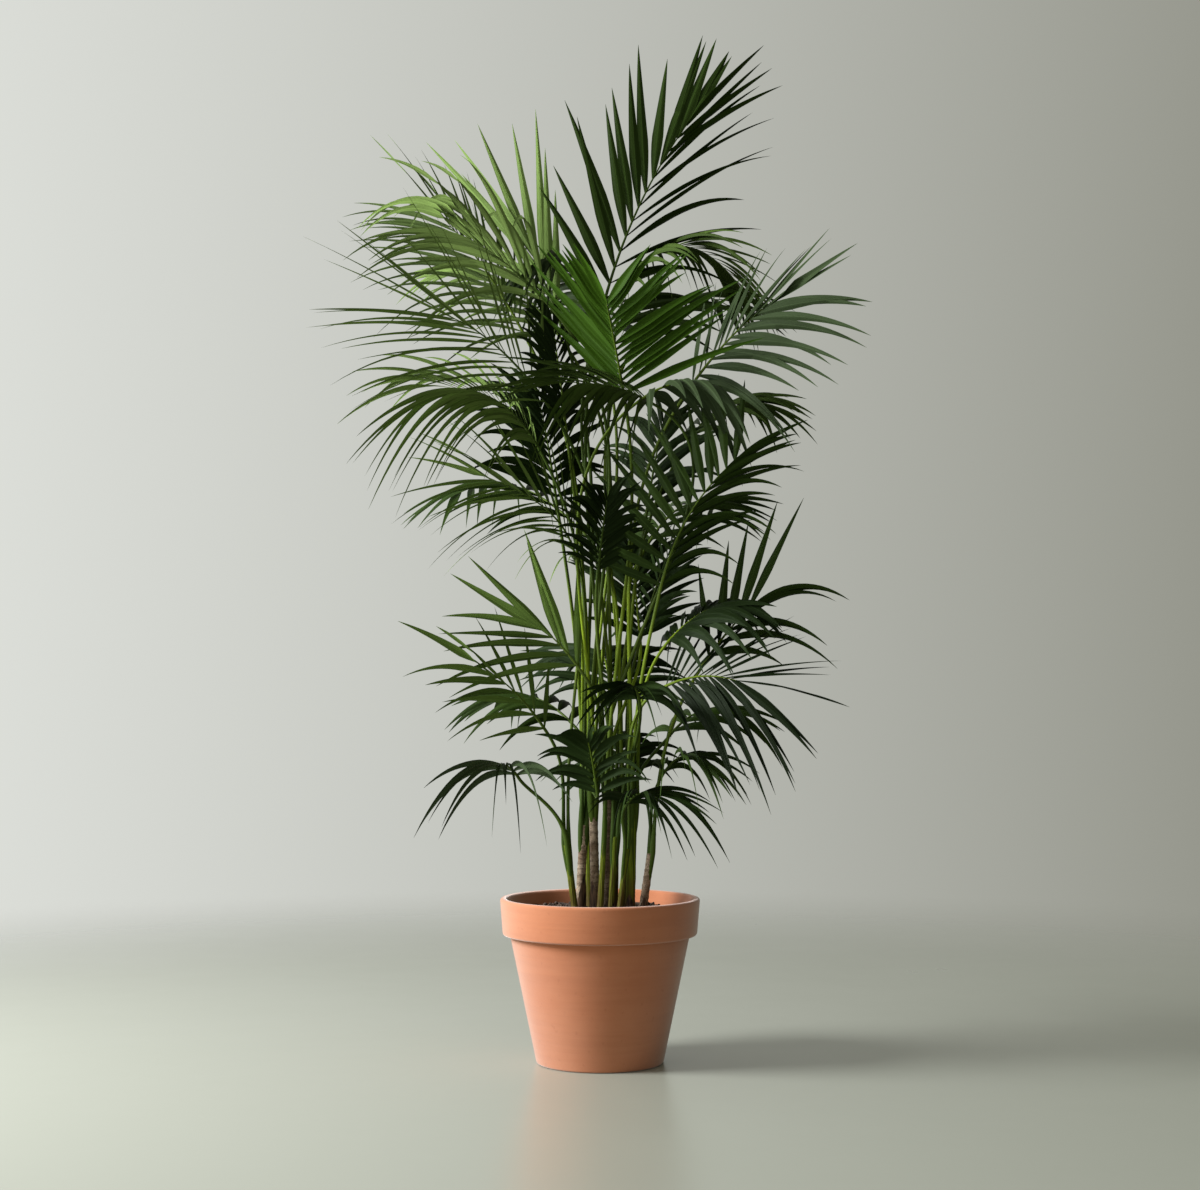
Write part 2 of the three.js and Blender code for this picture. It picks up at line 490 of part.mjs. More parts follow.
// Where a leaflet leaves the rib, which way it goes and how long it is.
function leafletAim(frond, rib, number, side, pair) {
  const hand = side > 0 ? 0 : 1;
  const t = pairPlace(frond, pair);
  const [first, final] = frond.ends;
  const rise = Math.max(0, 1 - t / longestAt);
  const fall = Math.max(0, (t - longestAt) / (1 - longestAt));
  const share = 1 - (1 - first) * rise ** risePower - (1 - final) * fall ** fallPower;
  const droop = mix(...frond.droop.slice(2 * hand, 2 * hand + 2), t);
  return {
    ...frameAt(frond, rib, t), t, side,
    sweep: mix(...frond.sweep, t) + side * frond.bias + sweepScatter * scatter(number, side, pair),
    fold: frond.fold[hand],
    tilt: radians(frond.tilt[hand]),
    length: frond.leaf[hand] * share * (1 + lengthScatter * scatter(number, side, pair + lengthSeries)),
    droop: droop * (1 + droopScatter * scatter(number, side, pair + droopSeries)),
  };
}

// A leaflet's sections, each with a back edge, a front edge and a keel below, and its tip. It starts
// straight and falls by its droop. The middle of each section, a third of the way from its edges down
// to its keel, lies on the middle line.
function leafletSections(frond, aim, change) {
  const sweep = radians(aim.sweep + change.sweep);
  const fold = radians(aim.fold + change.fold);
  const length = aim.length * change.share;
  const outward = aim.across.clone().multiplyScalar(aim.side * Math.cos(fold))
    .addScaledVector(aim.above, Math.sin(fold));
  const heading = aim.along.clone().multiplyScalar(Math.cos(sweep))
    .addScaledVector(outward, Math.sin(sweep));
  const middle = (s) => aim.root.clone().addScaledVector(heading, length * s)
    .addScaledVector(up, -length * aim.droop * s ** droopPower);
  const depth = Math.max(leafDepth, length / slimness);
  const stations = aim.droop > bentDroop ? bentSections : straightSections;
  const rings = stations.map(([s, share]) => {
    const ahead = middle(s + smallStep).sub(middle(s)).normalize();
    const flat = squareTo(aim.along, ahead);
    const under = cross(flat, ahead).multiplyScalar(aim.side);
    const [cosine, sine] = [Math.cos(aim.tilt), Math.sin(aim.tilt)];
    const edge = flat.clone().multiplyScalar(cosine).addScaledVector(under, -sine);
    const below = under.clone().multiplyScalar(cosine).addScaledVector(flat, sine);
    const centre = middle(s).addScaledVector(below, -depth / 3);
    const half = (frond.wide * share) / 2;
    return [
      centre.clone().addScaledVector(edge, -half),
      centre.clone().addScaledVector(edge, half),
      centre.clone().addScaledVector(below, depth),
    ];
  });
  return { rings, tip: middle(1) };
}

// A leaflet that would touch another frond is tried again, turned a little or shorter.
const turns = [[0, 0], [0, 7], [0, -7], [6, 0], [-6, 0], [0, 14], [0, -14], [8, 10], [-8, -10]];
const shares = [1, 0.85, 0.7, 0.5];
const changes = shares.flatMap((share) => turns.map(([sweep, fold]) => ({ share, sweep, fold })));

// The sides of a bar between two sections, right and left, from which leaflets grow.
const panelOn = (side, back, front) => (side > 0
  ? [back[0], back[1], front[1], front[0]]
  : [back[2], back[3], front[3], front[2]]);

// On the right a panel starts at its top and on the left at its foot, so the order differs.
function graft(surface, panel, { side, rings, tip }) {
  const order = side > 0 ? [0, 2, 2, 1] : [2, 0, 1, 2];
  let loop = panel;
  for (const ring of rings) {
    const placed = surface.place(ring);
    const next = order.map((k) => placed[k]);
    surface.wall(loop, next);
    loop = next;
  }
  const [point] = surface.place([tip]);
  surface.wall(loop, loop.map(() => point));
}

// The leaflet alone as a closed body, to see what it would touch.
function leafletBody(sections, leaflet) {
  const surface = new Surface();
  const panel = surface.place(panelOn(leaflet.side, ...sections));
  surface.cap([...panel].reverse());
  graft(surface, panel, leaflet);
  return tested(surface.geometry());
}

// One closed surface: a square bar from seat to tip, with the leaflets grown from its sides.
function frondGeometry(sections, leaflets) {
  const surface = new Surface();
  const loops = sections.map((section) => surface.place(section));
  surface.cap([...loops[0]].reverse());
  for (let i = 0; i + 1 < loops.length; i++) {
    const [back, front] = [loops[i], loops[i + 1]];
    for (const side of [1, -1]) {
      const panel = panelOn(side, back, front);
      const leaflet = leaflets.find((each) => each.section === i && each.side === side);
      if (leaflet) graft(surface, panel, leaflet);
      else surface.cap(panel);
    }
    surface.cap([back[1], back[2], front[2], front[1]]);
    surface.cap([back[3], back[0], front[0], front[3]]);
  }
  surface.cap(loops[loops.length - 1]);
  return surface.geometry();
}

function growFronds(standing) {
  const spines = growSpines();
  const bars = fronds.map((frond, i) => barSections(frond, spines[i]));
  const barBodies = bars.map((sections) => tested(limb(sections)));
  const placed = standing.map(tested);
  return fronds.map((frond, number) => {
    const others = [...placed, ...barBodies.filter((_, i) => i !== number)];
    const leaflets = [];
    for (let pair = 0; pair < frond.pairs; pair++) {
      const section = stalkSteps + 1 + 2 * pair;
      const between = bars[number].slice(section, section + 2);
      for (const side of [1, -1]) {
        const aim = leafletAim(frond, spines[number].rib, number, side, pair);
        for (const change of changes) {
          const leaflet = { side, section, ...leafletSections(frond, aim, change) };
          const body = leafletBody(between, leaflet);
          if (others.some((other) => crowds(body, other))) continue;
          leaflets.push(leaflet);
          placed.push(body);
          break;
        }
      }
    }
    return frondGeometry(bars[number], leaflets);
  });
}

// ---- The plant ----

function part(name, geometry, colour, roughness) {
  geometry.computeVertexNormals();
  const material = new THREE.MeshStandardMaterial({ color: colour, roughness, metalness: 0 });
  const mesh = new THREE.Mesh(geometry, material);
  mesh.name = name;
  return mesh;
}

const palm = new THREE.Group();
palm.add(part("pot", potGeometry(), terracotta, 0.85));
palm.add(part("soil", soilGeometry(), soilColour, 1));
const caneGeometries = canes.map(caneGeometry);
caneGeometries.forEach((geometry, i) => {
  palm.add(part(`cane_${i + 1}`, geometry, canes[i].colour, 0.8));
});
growFronds(caneGeometries).forEach((geometry, i) => {
  palm.add(part(`frond_${fronds[i].name}`, geometry, leafGreen, 0.45));
});

export default palm;
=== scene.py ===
import math
import bmesh
import bpy
import numpy as np
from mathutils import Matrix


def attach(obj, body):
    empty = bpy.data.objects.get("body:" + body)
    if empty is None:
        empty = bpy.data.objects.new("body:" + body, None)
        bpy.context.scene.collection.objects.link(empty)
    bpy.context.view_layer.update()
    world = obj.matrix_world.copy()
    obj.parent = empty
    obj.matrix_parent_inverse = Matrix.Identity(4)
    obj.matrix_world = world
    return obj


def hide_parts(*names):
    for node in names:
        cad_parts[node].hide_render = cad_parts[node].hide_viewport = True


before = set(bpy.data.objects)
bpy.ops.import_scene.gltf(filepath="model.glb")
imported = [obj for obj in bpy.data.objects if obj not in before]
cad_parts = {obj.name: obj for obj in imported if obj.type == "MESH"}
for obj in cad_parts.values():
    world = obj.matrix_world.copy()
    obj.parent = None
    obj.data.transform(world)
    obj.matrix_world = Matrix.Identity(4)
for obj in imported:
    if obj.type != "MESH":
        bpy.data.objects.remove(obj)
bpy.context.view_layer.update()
print("frame loaded")

# Lengths are in millimetres, and a mesh is made in metres at the end.
metre = 0.001
weldReach = 1e-6     # in metres: points nearer than this are merged
tiny = 1e-9          # keeps a division by nothing from failing
up = np.array([0.0, 0.0, 1.0])


# Small helpers on whole arrays.

def unit(v):
    return v / np.maximum(np.linalg.norm(v, axis=-1, keepdims=True), tiny)


def squareTo(side, along):
    # what is left of side once its share along the direction is taken away
    return unit(side - (side * along).sum(-1, keepdims=True) * along)


def mix(a, b, t):
    return a + (b - a) * t


def smooth(t):
    # eases from 0 to 1: three t squared less two t cubed
    t = np.clip(t, 0, 1)
    return t * t * (3 - 2 * t)


def scatter(i, j, k):
    # even scatter from -1 to 1: the fraction of a large sine of the three numbers
    wave = np.sin(i * 12.9898 + j * 78.233 + k * 37.719) * 43758.5453
    return 2 * (wave - np.floor(wave)) - 1


def around(count):
    # angles spread evenly over a full turn
    return np.linspace(0, 2 * np.pi, count, endpoint=False)


def ringPoints(radius, angle, height):
    # points at a distance from the upright axis, at an angle round it
    return np.stack(np.broadcast_arrays(radius * np.cos(angle), radius * np.sin(angle), height), -1)


def gridFaces(rows, columns, wrap=False, copies=1):
    # four corners for each cell of a grid of points, for as many grids as there are copies
    i, j = np.meshgrid(np.arange(rows - 1), np.arange(columns if wrap else columns - 1), indexing="ij")
    k = (j + 1) % columns
    near, far = i * columns, (i + 1) * columns
    cells = np.stack([near + j, near + k, far + k, far + j], -1)
    shift = np.arange(copies) * rows * columns
    return (cells.reshape(1, -1, 4) + shift[:, None, None]).reshape(-1, 4)


def addPiece(name, points, faces, material, slotName, nodes=(), uv=None, values=None, weld=False):
    # points and faces are arrays; uv has two numbers for each point and values has named arrays of one
    points = points.reshape(-1, 3) * metre
    mesh = bpy.data.meshes.new(name)
    mesh.vertices.add(len(points))
    mesh.vertices.foreach_set("co", points.astype(np.float32).ravel())
    mesh.loops.add(faces.size)
    mesh.loops.foreach_set("vertex_index", faces.astype(np.int32).ravel())
    mesh.polygons.add(len(faces))
    mesh.polygons.foreach_set("loop_start", np.arange(0, faces.size, faces.shape[1], dtype=np.int32))
    mesh.update(calc_edges=True)
    if uv is not None:
        layer = mesh.uv_layers.new(name="surface")
        layer.data.foreach_set("uv", uv.reshape(-1, 2)[faces.ravel()].astype(np.float32).ravel())
    for key, value in (values or {}).items():
        attribute = mesh.attributes.new(key, "FLOAT", "POINT")
        attribute.data.foreach_set("value", value.ravel().astype(np.float32))
    if weld:
        shape = bmesh.new()
        shape.from_mesh(mesh)
        bmesh.ops.remove_doubles(shape, verts=shape.verts, dist=weldReach)
        bmesh.ops.recalc_face_normals(shape, faces=shape.faces)
        shape.to_mesh(mesh)
        shape.free()
    mesh.polygons.foreach_set("use_smooth", np.ones(len(mesh.polygons), dtype=bool))
    mesh.materials.append(material)
    piece = bpy.data.objects.new(name, mesh)
    bpy.context.scene.collection.objects.link(piece)
    if slotName:
        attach(piece, "root")
        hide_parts(*nodes)
    return piece


# Shader maths: a Signal is the output of a node, and sums on Signals add Math nodes.

class Signal:
    def __init__(self, graph, socket):
        self.graph, self.socket = graph, socket

    def sum(self, operation, a, b):
        return self.graph.node("ShaderNodeMath", {"operation": operation}, {0: a, 1: b})

    def __add__(self, other):
        return self.sum("ADD", self, other)

    def __radd__(self, other):
        return self.sum("ADD", other, self)

    def __mul__(self, other):
        return self.sum("MULTIPLY", self, other)

    def __pow__(self, other):
        return self.sum("POWER", self, other)

    def __abs__(self):
        return self.graph.node("ShaderNodeMath", {"operation": "ABSOLUTE"}, {0: self})


class Graph:
    def __init__(self, name, kind="materials"):
        self.owner = getattr(bpy.data, kind).new(name)
        self.owner.use_nodes = True
        self.tree = self.owner.node_tree
        self.tree.nodes.clear()

    def node(self, kind, settings=None, sockets=None, output=0):
        made = self.tree.nodes.new(kind)
        for key, value in (settings or {}).items():
            if key == "stops":
                self.setStops(made.color_ramp, value)
            else:
                setattr(made, key, value)
        for key, value in (sockets or {}).items():
            if isinstance(value, Signal):
                self.tree.links.new(value.socket, made.inputs[key])
            else:
                made.inputs[key].default_value = value
        return Signal(self, made.outputs[output]) if made.outputs else made

    def setStops(self, ramp, stops):
        for place, level in stops[1:-1]:
            ramp.elements.new(place)
        for element, (place, level) in zip(ramp.elements, stops):
            element.position = place
            element.color = (level, level, level, 1)

    def noise(self, vector, scale, detail=3.0):
        values = {"Vector": vector, "Scale": scale, "Detail": detail, "Roughness": 0.55}
        return self.node("ShaderNodeTexNoise", {}, values)

    def ramp(self, factor, *stops):
        return self.node("ShaderNodeValToRGB", {"stops": stops}, {"Fac": factor})

    def blend(self, factor, a, b):
        a, b = [value if isinstance(value, Signal) else (*value, 1) for value in (a, b)]
        return self.node("ShaderNodeMix", {"data_type": "RGBA"}, {0: factor, 6: a, 7: b}, 2)

    def value(self, name):
        return self.node("ShaderNodeAttribute", {"attribute_name": name}, output=2)

    def place(self):
        return self.node("ShaderNodeTexCoord", output=3)

    def stretched(self, vector, scale):
        return self.node("ShaderNodeMapping", {}, {"Vector": vector, "Scale": scale})

    def parts(self, vector):
        made = self.node("ShaderNodeSeparateXYZ", {}, {0: vector})
        return [Signal(self, socket) for socket in made.socket.node.outputs]

    def bump(self, height, strength, distance):
        inputs = {"Height": height, "Strength": strength, "Distance": distance}
        return self.node("ShaderNodeBump", {}, inputs)

    def finish(self, **sockets):
        # Base_Color=... names the socket Base Color of the one Principled shader
        values = {key.replace("_", " "): value for key, value in sockets.items()}
        shader = self.node("ShaderNodeBsdfPrincipled", {}, values)
        self.node("ShaderNodeOutputMaterial", {}, {"Surface": shader})
        return self.owner


print("helpers ready")


pot = {
    "height": 295, "baseRadius": 115.5, "shoulderRadius": 164, "bandFootRadius": 177, "rimRadius": 182.5,
    "bandHeight": 66, "wall": 13, "floorThickness": 14, "sides": 192, "cornerSteps": 7,
    # hand-thrown unevenness of the radius: how deep, how many waves go round, the height over which
    # each of them turns, and the radius inside which it fades
    "wobble": 0.35, "waves": ((3, 90), (5, -40)), "evenRadius": 20,
    "colour": (0.385, 0.127, 0.049), "pale": (0.450, 0.192, 0.098), "dark": (0.275, 0.081, 0.029),
}


def innerRadius(height):
    # a straight taper from the pot's floor to its rim, one wall inside the outer sizes
    share = (height - pot["floorThickness"]) / (pot["height"] - pot["floorThickness"])
    return mix(pot["baseRadius"] - pot["wall"], pot["rimRadius"] - pot["wall"], share)


def roundedProfile(corners):
    # each corner (radius, height, reach) is cut at its reach on both sides and becomes a short
    # curve that bends towards the corner: (1 - t) squared, 2 t (1 - t), t squared
    place, reach = corners[:, :2], corners[1:-1, 2:]
    back, here, front = place[:-2], place[1:-1], place[2:]
    start = here + unit(back - here) * reach
    end = here + unit(front - here) * reach
    t = np.linspace(0, 1, pot["cornerSteps"])[None, :, None]
    curve = start[:, None] * (1 - t) ** 2 + here[:, None] * 2 * t * (1 - t) + end[:, None] * t ** 2
    return np.concatenate([place[:1], curve.reshape(-1, 2), place[-1:]])


def potSurface():
    # the profile turned round the axis, its radius uneven by the sum of two waves
    shoulder = pot["height"] - pot["bandHeight"]
    inner = pot["rimRadius"] - pot["wall"]
    profile = roundedProfile(np.array([
        (0, 0, 0),
        (pot["baseRadius"], 0, 4),
        (pot["shoulderRadius"], shoulder, 3),
        (pot["bandFootRadius"], shoulder, 4.5),
        (pot["rimRadius"], pot["height"], 6),
        (inner, pot["height"], 6),
        (innerRadius(pot["floorThickness"]), pot["floorThickness"], 8),
        (0, pot["floorThickness"], 0),
    ], dtype=float))
    angle = around(pot["sides"])
    radius, height = profile[:, :1], profile[:, 1:]
    uneven = sum(np.sin(count * angle + height / turn) for count, turn in pot["waves"])
    radius = radius - pot["wobble"] * (1 + uneven / 2) * np.minimum(1, radius / pot["evenRadius"])
    return ringPoints(radius, angle, height), gridFaces(len(profile), pot["sides"], wrap=True)


def terracotta():
    graph = Graph("terracotta")
    place = graph.place()
    cloud = graph.ramp(graph.noise(place, 5.0, 4.0), (0.35, 0), (0.68, 1))
    throwing = graph.noise(graph.stretched(place, (3.0, 3.0, 60.0)), 1.6)
    lines = graph.noise(graph.stretched(place, (1.5, 1.5, 260.0)), 1.0, 2.0)
    grain = graph.noise(place, 260.0, 2.0)
    speck = graph.ramp(graph.noise(place, 90.0, 1.0), (0.68, 0), (0.76, 1))
    colour = graph.blend(cloud * 0.5, pot["colour"], pot["pale"])
    colour = graph.blend(graph.ramp(throwing, (0.45, 0), (0.62, 1)) * 0.14, colour, pot["dark"])
    colour = graph.blend(speck * 0.25, colour, pot["dark"])
    height = throwing * 0.6 + lines * 0.3 + grain * 0.2
    return graph.finish(Base_Color=colour, Roughness=0.66 + grain * 0.16, Specular_IOR_Level=0.16,
                        Sheen_Weight=0.55, Sheen_Roughness=0.5, Normal=graph.bump(height, 0.45, 0.0012))


potPoints, potFaces = potSurface()
addPiece("pot_turned", potPoints, potFaces, terracotta(), "terracotta", ["pot"], weld=True)
print("pot made")


# The soil is a lumpy bed with loose crumbs on it. A wave of its lumps has two slopes and a start.
soil = {
    "level": 272, "depth": 60, "rings": 46, "sides": 110, "edgeGap": 0.4,
    "lump": 3.2, "mound": 7.0, "moundReach": 90, "sunk": 4,
    "waves": ((0.09, 0.05, 1.0), (-0.06, 0.11, 2.1), (0.17, -0.08, 0.4), (0.05, 0.21, 3.3)),
    "crumbs": 900, "crumbRows": 6, "crumbSides": 7, "crumbSize": (1.4, 5.0), "crumbSkew": 2.5,
    "crumbLift": 0.35, "crumbRough": 0.35, "crumbStretch": (0.7, 1.2), "wallGap": 6, "seed": 7,
    "dark": (0.020, 0.012, 0.008), "light": (0.075, 0.045, 0.028),
}


def soilHeight(x, y):
    # lumps are four crossed waves, on a low mound in the middle
    waves = sum(np.sin(x * a + y * b + c) for a, b, c in soil["waves"])
    mound = soil["mound"] * np.exp(-(x ** 2 + y ** 2) / soil["moundReach"] ** 2)
    return soil["level"] - soil["sunk"] + soil["lump"] * waves / 2 + mound


def soilSurface():
    # rings from the middle to the wall on top, then down the wall and back to the middle
    edge = innerRadius(soil["level"]) - soil["edgeGap"]
    top = np.linspace(0, edge, soil["rings"])
    foot = soil["level"] - soil["depth"]
    radius = np.concatenate([top, [innerRadius(foot) - soil["edgeGap"], 0]])
    angle = around(soil["sides"])
    x, y = radius[:, None] * np.cos(angle), radius[:, None] * np.sin(angle)
    z = soilHeight(x, y)
    z[-2:] = foot
    return np.stack([x, y, z], -1), gridFaces(len(radius), soil["sides"], wrap=True)


def soilCrumbs():
    # small uneven balls strewn over the soil, most of them near the least size: each is a globe of
    # rows and sides, its radius scattered
    dice = np.random.default_rng(soil["seed"])
    count, rows, sides = soil["crumbs"], soil["crumbRows"], soil["crumbSides"]
    reach = (innerRadius(soil["level"]) - soil["wallGap"]) * np.sqrt(dice.random(count))
    bearing = 2 * np.pi * dice.random(count)
    x, y = reach * np.cos(bearing), reach * np.sin(bearing)
    size = mix(*soil["crumbSize"], dice.random(count) ** soil["crumbSkew"])
    centre = np.stack([x, y, soilHeight(x, y) + soil["crumbLift"] * size], -1)
    polar = np.linspace(0, np.pi, rows)[:, None]
    globe = ringPoints(np.sin(polar), around(sides), np.cos(polar))
    rough = soil["crumbRough"] * (dice.random((count, rows, sides, 1)) - 0.5)
    uneven = 1 + rough * np.sin(polar)[None, :, :, None]
    stretch = mix(*soil["crumbStretch"], dice.random((count, 1, 1, 3)))
    points = centre[:, None, None] + size[:, None, None, None] * uneven * stretch * globe
    return points, gridFaces(rows, sides, wrap=True, copies=count)


def soilMaterial():
    graph = Graph("soil")
    place = graph.place()
    coarse = graph.noise(place, 70.0, 4.0)
    fine = graph.noise(place, 420.0)
    patch = graph.ramp(coarse * 0.6 + fine * 0.4, (0.38, 0), (0.66, 1))
    colour = graph.blend(patch, soil["dark"], soil["light"])
    return graph.finish(Base_Color=colour, Roughness=0.85 + fine * 0.1,
                        Normal=graph.bump(coarse + fine * 0.5, 0.8, 0.004))


soilLook = soilMaterial()
addPiece("soil_bed", *soilSurface(), soilLook, "soil", ["soil"], weld=True)
addPiece("soil_crumbs", *soilCrumbs(), soilLook, "soil", ["soil"], weld=True)
print("soil made")


# A cane goes from its foot on the soil to a flat top, where its stalks stand.
canes = [
    dict(foot=(-45, -36), top=(-60, -38, 393), footRadius=6.5, topRadius=6.5, look="sheath"),
    dict(foot=(-37, -12), top=(-29, -10, 428), footRadius=8.5, topRadius=8, look="bark"),
    dict(foot=(-8, -20), top=(-13, -20, 488), footRadius=8.5, topRadius=8, look="bark"),
    dict(foot=(0, -54), top=(8, -52, 418), footRadius=6, topRadius=4.5, look="sheath"),
    dict(foot=(20, -38), top=(28, -36, 408), footRadius=6, topRadius=6.5, look="sheath"),
    dict(foot=(34, -64), top=(48, -62, 388), footRadius=5.5, topRadius=4.5, look="sheath"),
    dict(foot=(54, -26), top=(60, -26, 463), footRadius=9, topRadius=8, look="sheath"),
    dict(foot=(76, -42), top=(92, -36, 378), footRadius=8, topRadius=7, look="bark"),
    dict(foot=(-18, 14), top=(-26, 20, 488), footRadius=8, topRadius=8, look="sheath"),
    dict(foot=(16, 4), top=(12, 6, 518), footRadius=9, topRadius=8, look="bark"),
    dict(foot=(46, 12), top=(52, 18, 458), footRadius=8, topRadius=8, look="sheath"),
    dict(foot=(26, 42), top=(28, 48, 468), footRadius=8, topRadius=8, look="sheath"),
    dict(foot=(-8, 46), top=(-14, 52, 468), footRadius=8, topRadius=8, look="sheath"),
]

# flareShare is the share of the height over which the foot narrows. On bark, leaf scars stand every
# ringPitch, less evenly by wander and slant. On a sheath, the seam is the edge that laps over.
bark = {
    "flare": 1.25, "flareShare": 0.12, "rows": 150, "sides": 40, "sunk": 12, "rough": 0.125,
    "ringPitch": 13.0, "ringWidth": 0.14, "ridge": 0.55, "inset": 0.4,
    "wander": 0.55, "wanderLength": 17, "slant": 0.09, "slantLength": 9,
    "ribs": 11, "rib": 0.28, "seamWidth": 0.16, "seamTurn": 0.9, "seamLength": 70, "lap": 0.5,
    "tan": (0.150, 0.100, 0.060), "brown": (0.045, 0.026, 0.015), "pale": (0.300, 0.230, 0.160),
    "green": (0.150, 0.200, 0.010), "deepGreen": (0.024, 0.038, 0.004), "rust": (0.065, 0.030, 0.012),
}


# Dead leaf bases at the feet of some canes. Each has its cane, the bearing of its middle in radians and
# its height. spread is half of its width in radians, and off and lean are how far it stands off the cane.
husks = {
    "rows": 14, "columns": 9, "spread": 0.95, "narrowing": 1.6, "off": 0.9, "lean": 3.5, "sunk": 6,
    "fray": 1.2,
    "dark": (0.014, 0.008, 0.005), "light": (0.085, 0.048, 0.026),
    "all": [
        dict(cane=2, bearing=-1.2, height=74), dict(cane=3, bearing=-1.9, height=62),
        dict(cane=8, bearing=-1.6, height=34), dict(cane=5, bearing=-1.0, height=30),
        dict(cane=7, bearing=-1.7, height=38), dict(cane=10, bearing=1.6, height=40),
        dict(cane=13, bearing=2.2, height=36), dict(cane=11, bearing=0.9, height=42),
    ],
}


def caneEnds(cane):
    # the middle of its foot on the soil, and of its flat top
    return np.array([*cane["foot"], soil["level"]], dtype=float), np.array(cane["top"], dtype=float)


def caneSurface(number, cane):
    # a tube from just under the soil to the top, thicker at the foot. Bark has a ridge at each leaf
    # scar, and a sheath has fine ribs along it and one slanting edge where it laps over itself
    foot, top = caneEnds(cane)
    height = np.linalg.norm(top - foot)
    t = np.linspace(-bark["sunk"] / height, 1, bark["rows"])
    angle = around(bark["sides"])[None, :]
    radius = np.interp(t, [0, bark["flareShare"], 1],
                       [cane["footRadius"] * bark["flare"], cane["footRadius"], cane["topRadius"]])
    radius = np.concatenate([radius[:-1], [0]])[:, None]
    centre = mix(foot, top, t[:, None])[:, None]
    along = (t * height)[:, None]
    if cane["look"] == "bark":
        turns = along / bark["ringPitch"] + bark["wander"] * np.sin(along / bark["wanderLength"] + number)
        turns = turns + bark["slant"] * np.sin(2 * angle + along / bark["slantLength"])
        scar = np.exp(-(((turns % 1) - 0.5) / bark["ringWidth"]) ** 2)
        relief = bark["ridge"] * scar - bark["inset"]
    else:
        bearing = angle - bark["seamTurn"] * number - along / bark["seamLength"]
        seam = np.abs(np.angle(np.exp(1j * bearing)))
        scar = np.exp(-(seam / bark["seamWidth"]) ** 2)
        relief = bark["rib"] * np.cos(bark["ribs"] * angle + number) - bark["lap"] + bark["lap"] * scar
    row, column = np.arange(bark["rows"])[:, None], np.arange(bark["sides"])
    relief = relief + bark["rough"] * scatter(row, column, number)
    radius = radius + relief * (radius > 0)
    return centre + ringPoints(radius, angle, 0), scar


def huskSurface(number, husk):
    # part of a tube round the cane's foot, narrowing to a point as a power of its height, leaning out
    # by the height squared, with a frayed edge
    cane = canes[number]
    foot, top = caneEnds(cane)
    h = np.linspace(0, 1, husks["rows"])[:, None]
    row, column = np.arange(husks["rows"])[:, None], np.arange(husks["columns"])
    spread = husks["spread"] * (1 - h ** husks["narrowing"])
    angle = husk["bearing"] + spread * np.linspace(-1, 1, husks["columns"])
    radius = cane["footRadius"] * bark["flare"] + husks["off"] + husks["lean"] * h ** 2
    centre = mix(foot, top, h * husk["height"] / (top[2] - foot[2]))
    rise = husks["fray"] * scatter(row, column, number) - husks["sunk"]
    return centre[:, None] + ringPoints(radius, angle, rise)


def huskMaterial():
    graph = Graph("dry_husk")
    place = graph.place()
    fibre = graph.noise(graph.stretched(place, (500.0, 500.0, 30.0)), 1.0)
    colour = graph.blend(graph.ramp(fibre, (0.38, 0), (0.62, 1)), husks["dark"], husks["light"])
    return graph.finish(Base_Color=colour, Roughness=0.78 + fibre * 0.1, Specular_IOR_Level=0.2,
                        Normal=graph.bump(fibre, 0.6, 0.0010))


def barkMaterial():
    graph = Graph("ringed_bark")
    place = graph.place()
    scar = graph.value("scar")
    patch = graph.ramp(graph.noise(place, 38.0, 4.0), (0.40, 0), (0.62, 1))
    grit = graph.noise(graph.stretched(place, (260.0, 260.0, 420.0)), 1.0, 2.0)
    fleck = graph.ramp(grit, (0.52, 0), (0.66, 1))
    colour = graph.blend(patch, bark["tan"], bark["pale"])
    colour = graph.blend(fleck * 0.75, colour, bark["brown"])
    colour = graph.blend(scar * 0.45, colour, bark["brown"])
    height = graph.parts(place)[2] + patch * 0.012
    colour = graph.blend(graph.ramp(height * 3.0, (0.84, 1), (0.96, 0)) * 0.85, colour, bark["brown"])
    height = fleck * -0.5 + patch * 0.3 + scar * 0.25
    return graph.finish(Base_Color=colour, Roughness=0.74 + fleck * 0.14, Specular_IOR_Level=0.25,
                        Normal=graph.bump(height, 0.6, 0.0012))


def sheathMaterial():
    graph = Graph("leaf_sheath")
    place = graph.place()
    height = graph.parts(place)[2]
    fibre = graph.noise(graph.stretched(place, (420.0, 420.0, 9.0)), 1.0)
    patch = graph.noise(place, 16.0)
    foot = graph.ramp((height + patch * 0.10) * 2.0, (0.66, 1), (0.84, 0))
    colour = graph.blend(graph.ramp(fibre, (0.35, 0), (0.65, 1)), bark["green"], bark["deepGreen"])
    colour = graph.blend(foot * 0.8, colour, bark["rust"])
    colour = graph.blend(graph.value("scar") * 0.6, colour, bark["rust"])
    return graph.finish(Base_Color=colour, Roughness=0.45 + fibre * 0.2, Specular_IOR_Level=0.08,
                        Normal=graph.bump(fibre, 0.4, 0.0008))


looks = {"bark": barkMaterial(), "sheath": sheathMaterial()}
for number, cane in enumerate(canes):
    canePoints, scar = caneSurface(number, cane)
    addPiece(f"cane_skin_{number + 1}", canePoints, gridFaces(bark["rows"], bark["sides"], wrap=True),
             looks[cane["look"]], cane["look"], [f"cane_{number + 1}"], values={"scar": scar}, weld=True)
huskLook = huskMaterial()
for count, husk in enumerate(husks["all"]):
    name = f"husk_{count + 1}"
    addPiece(name, huskSurface(husk["cane"] - 1, husk), gridFaces(husks["rows"], husks["columns"]),
             huskLook, "bark", [f"cane_{husk['cane']}"])
print("canes made")


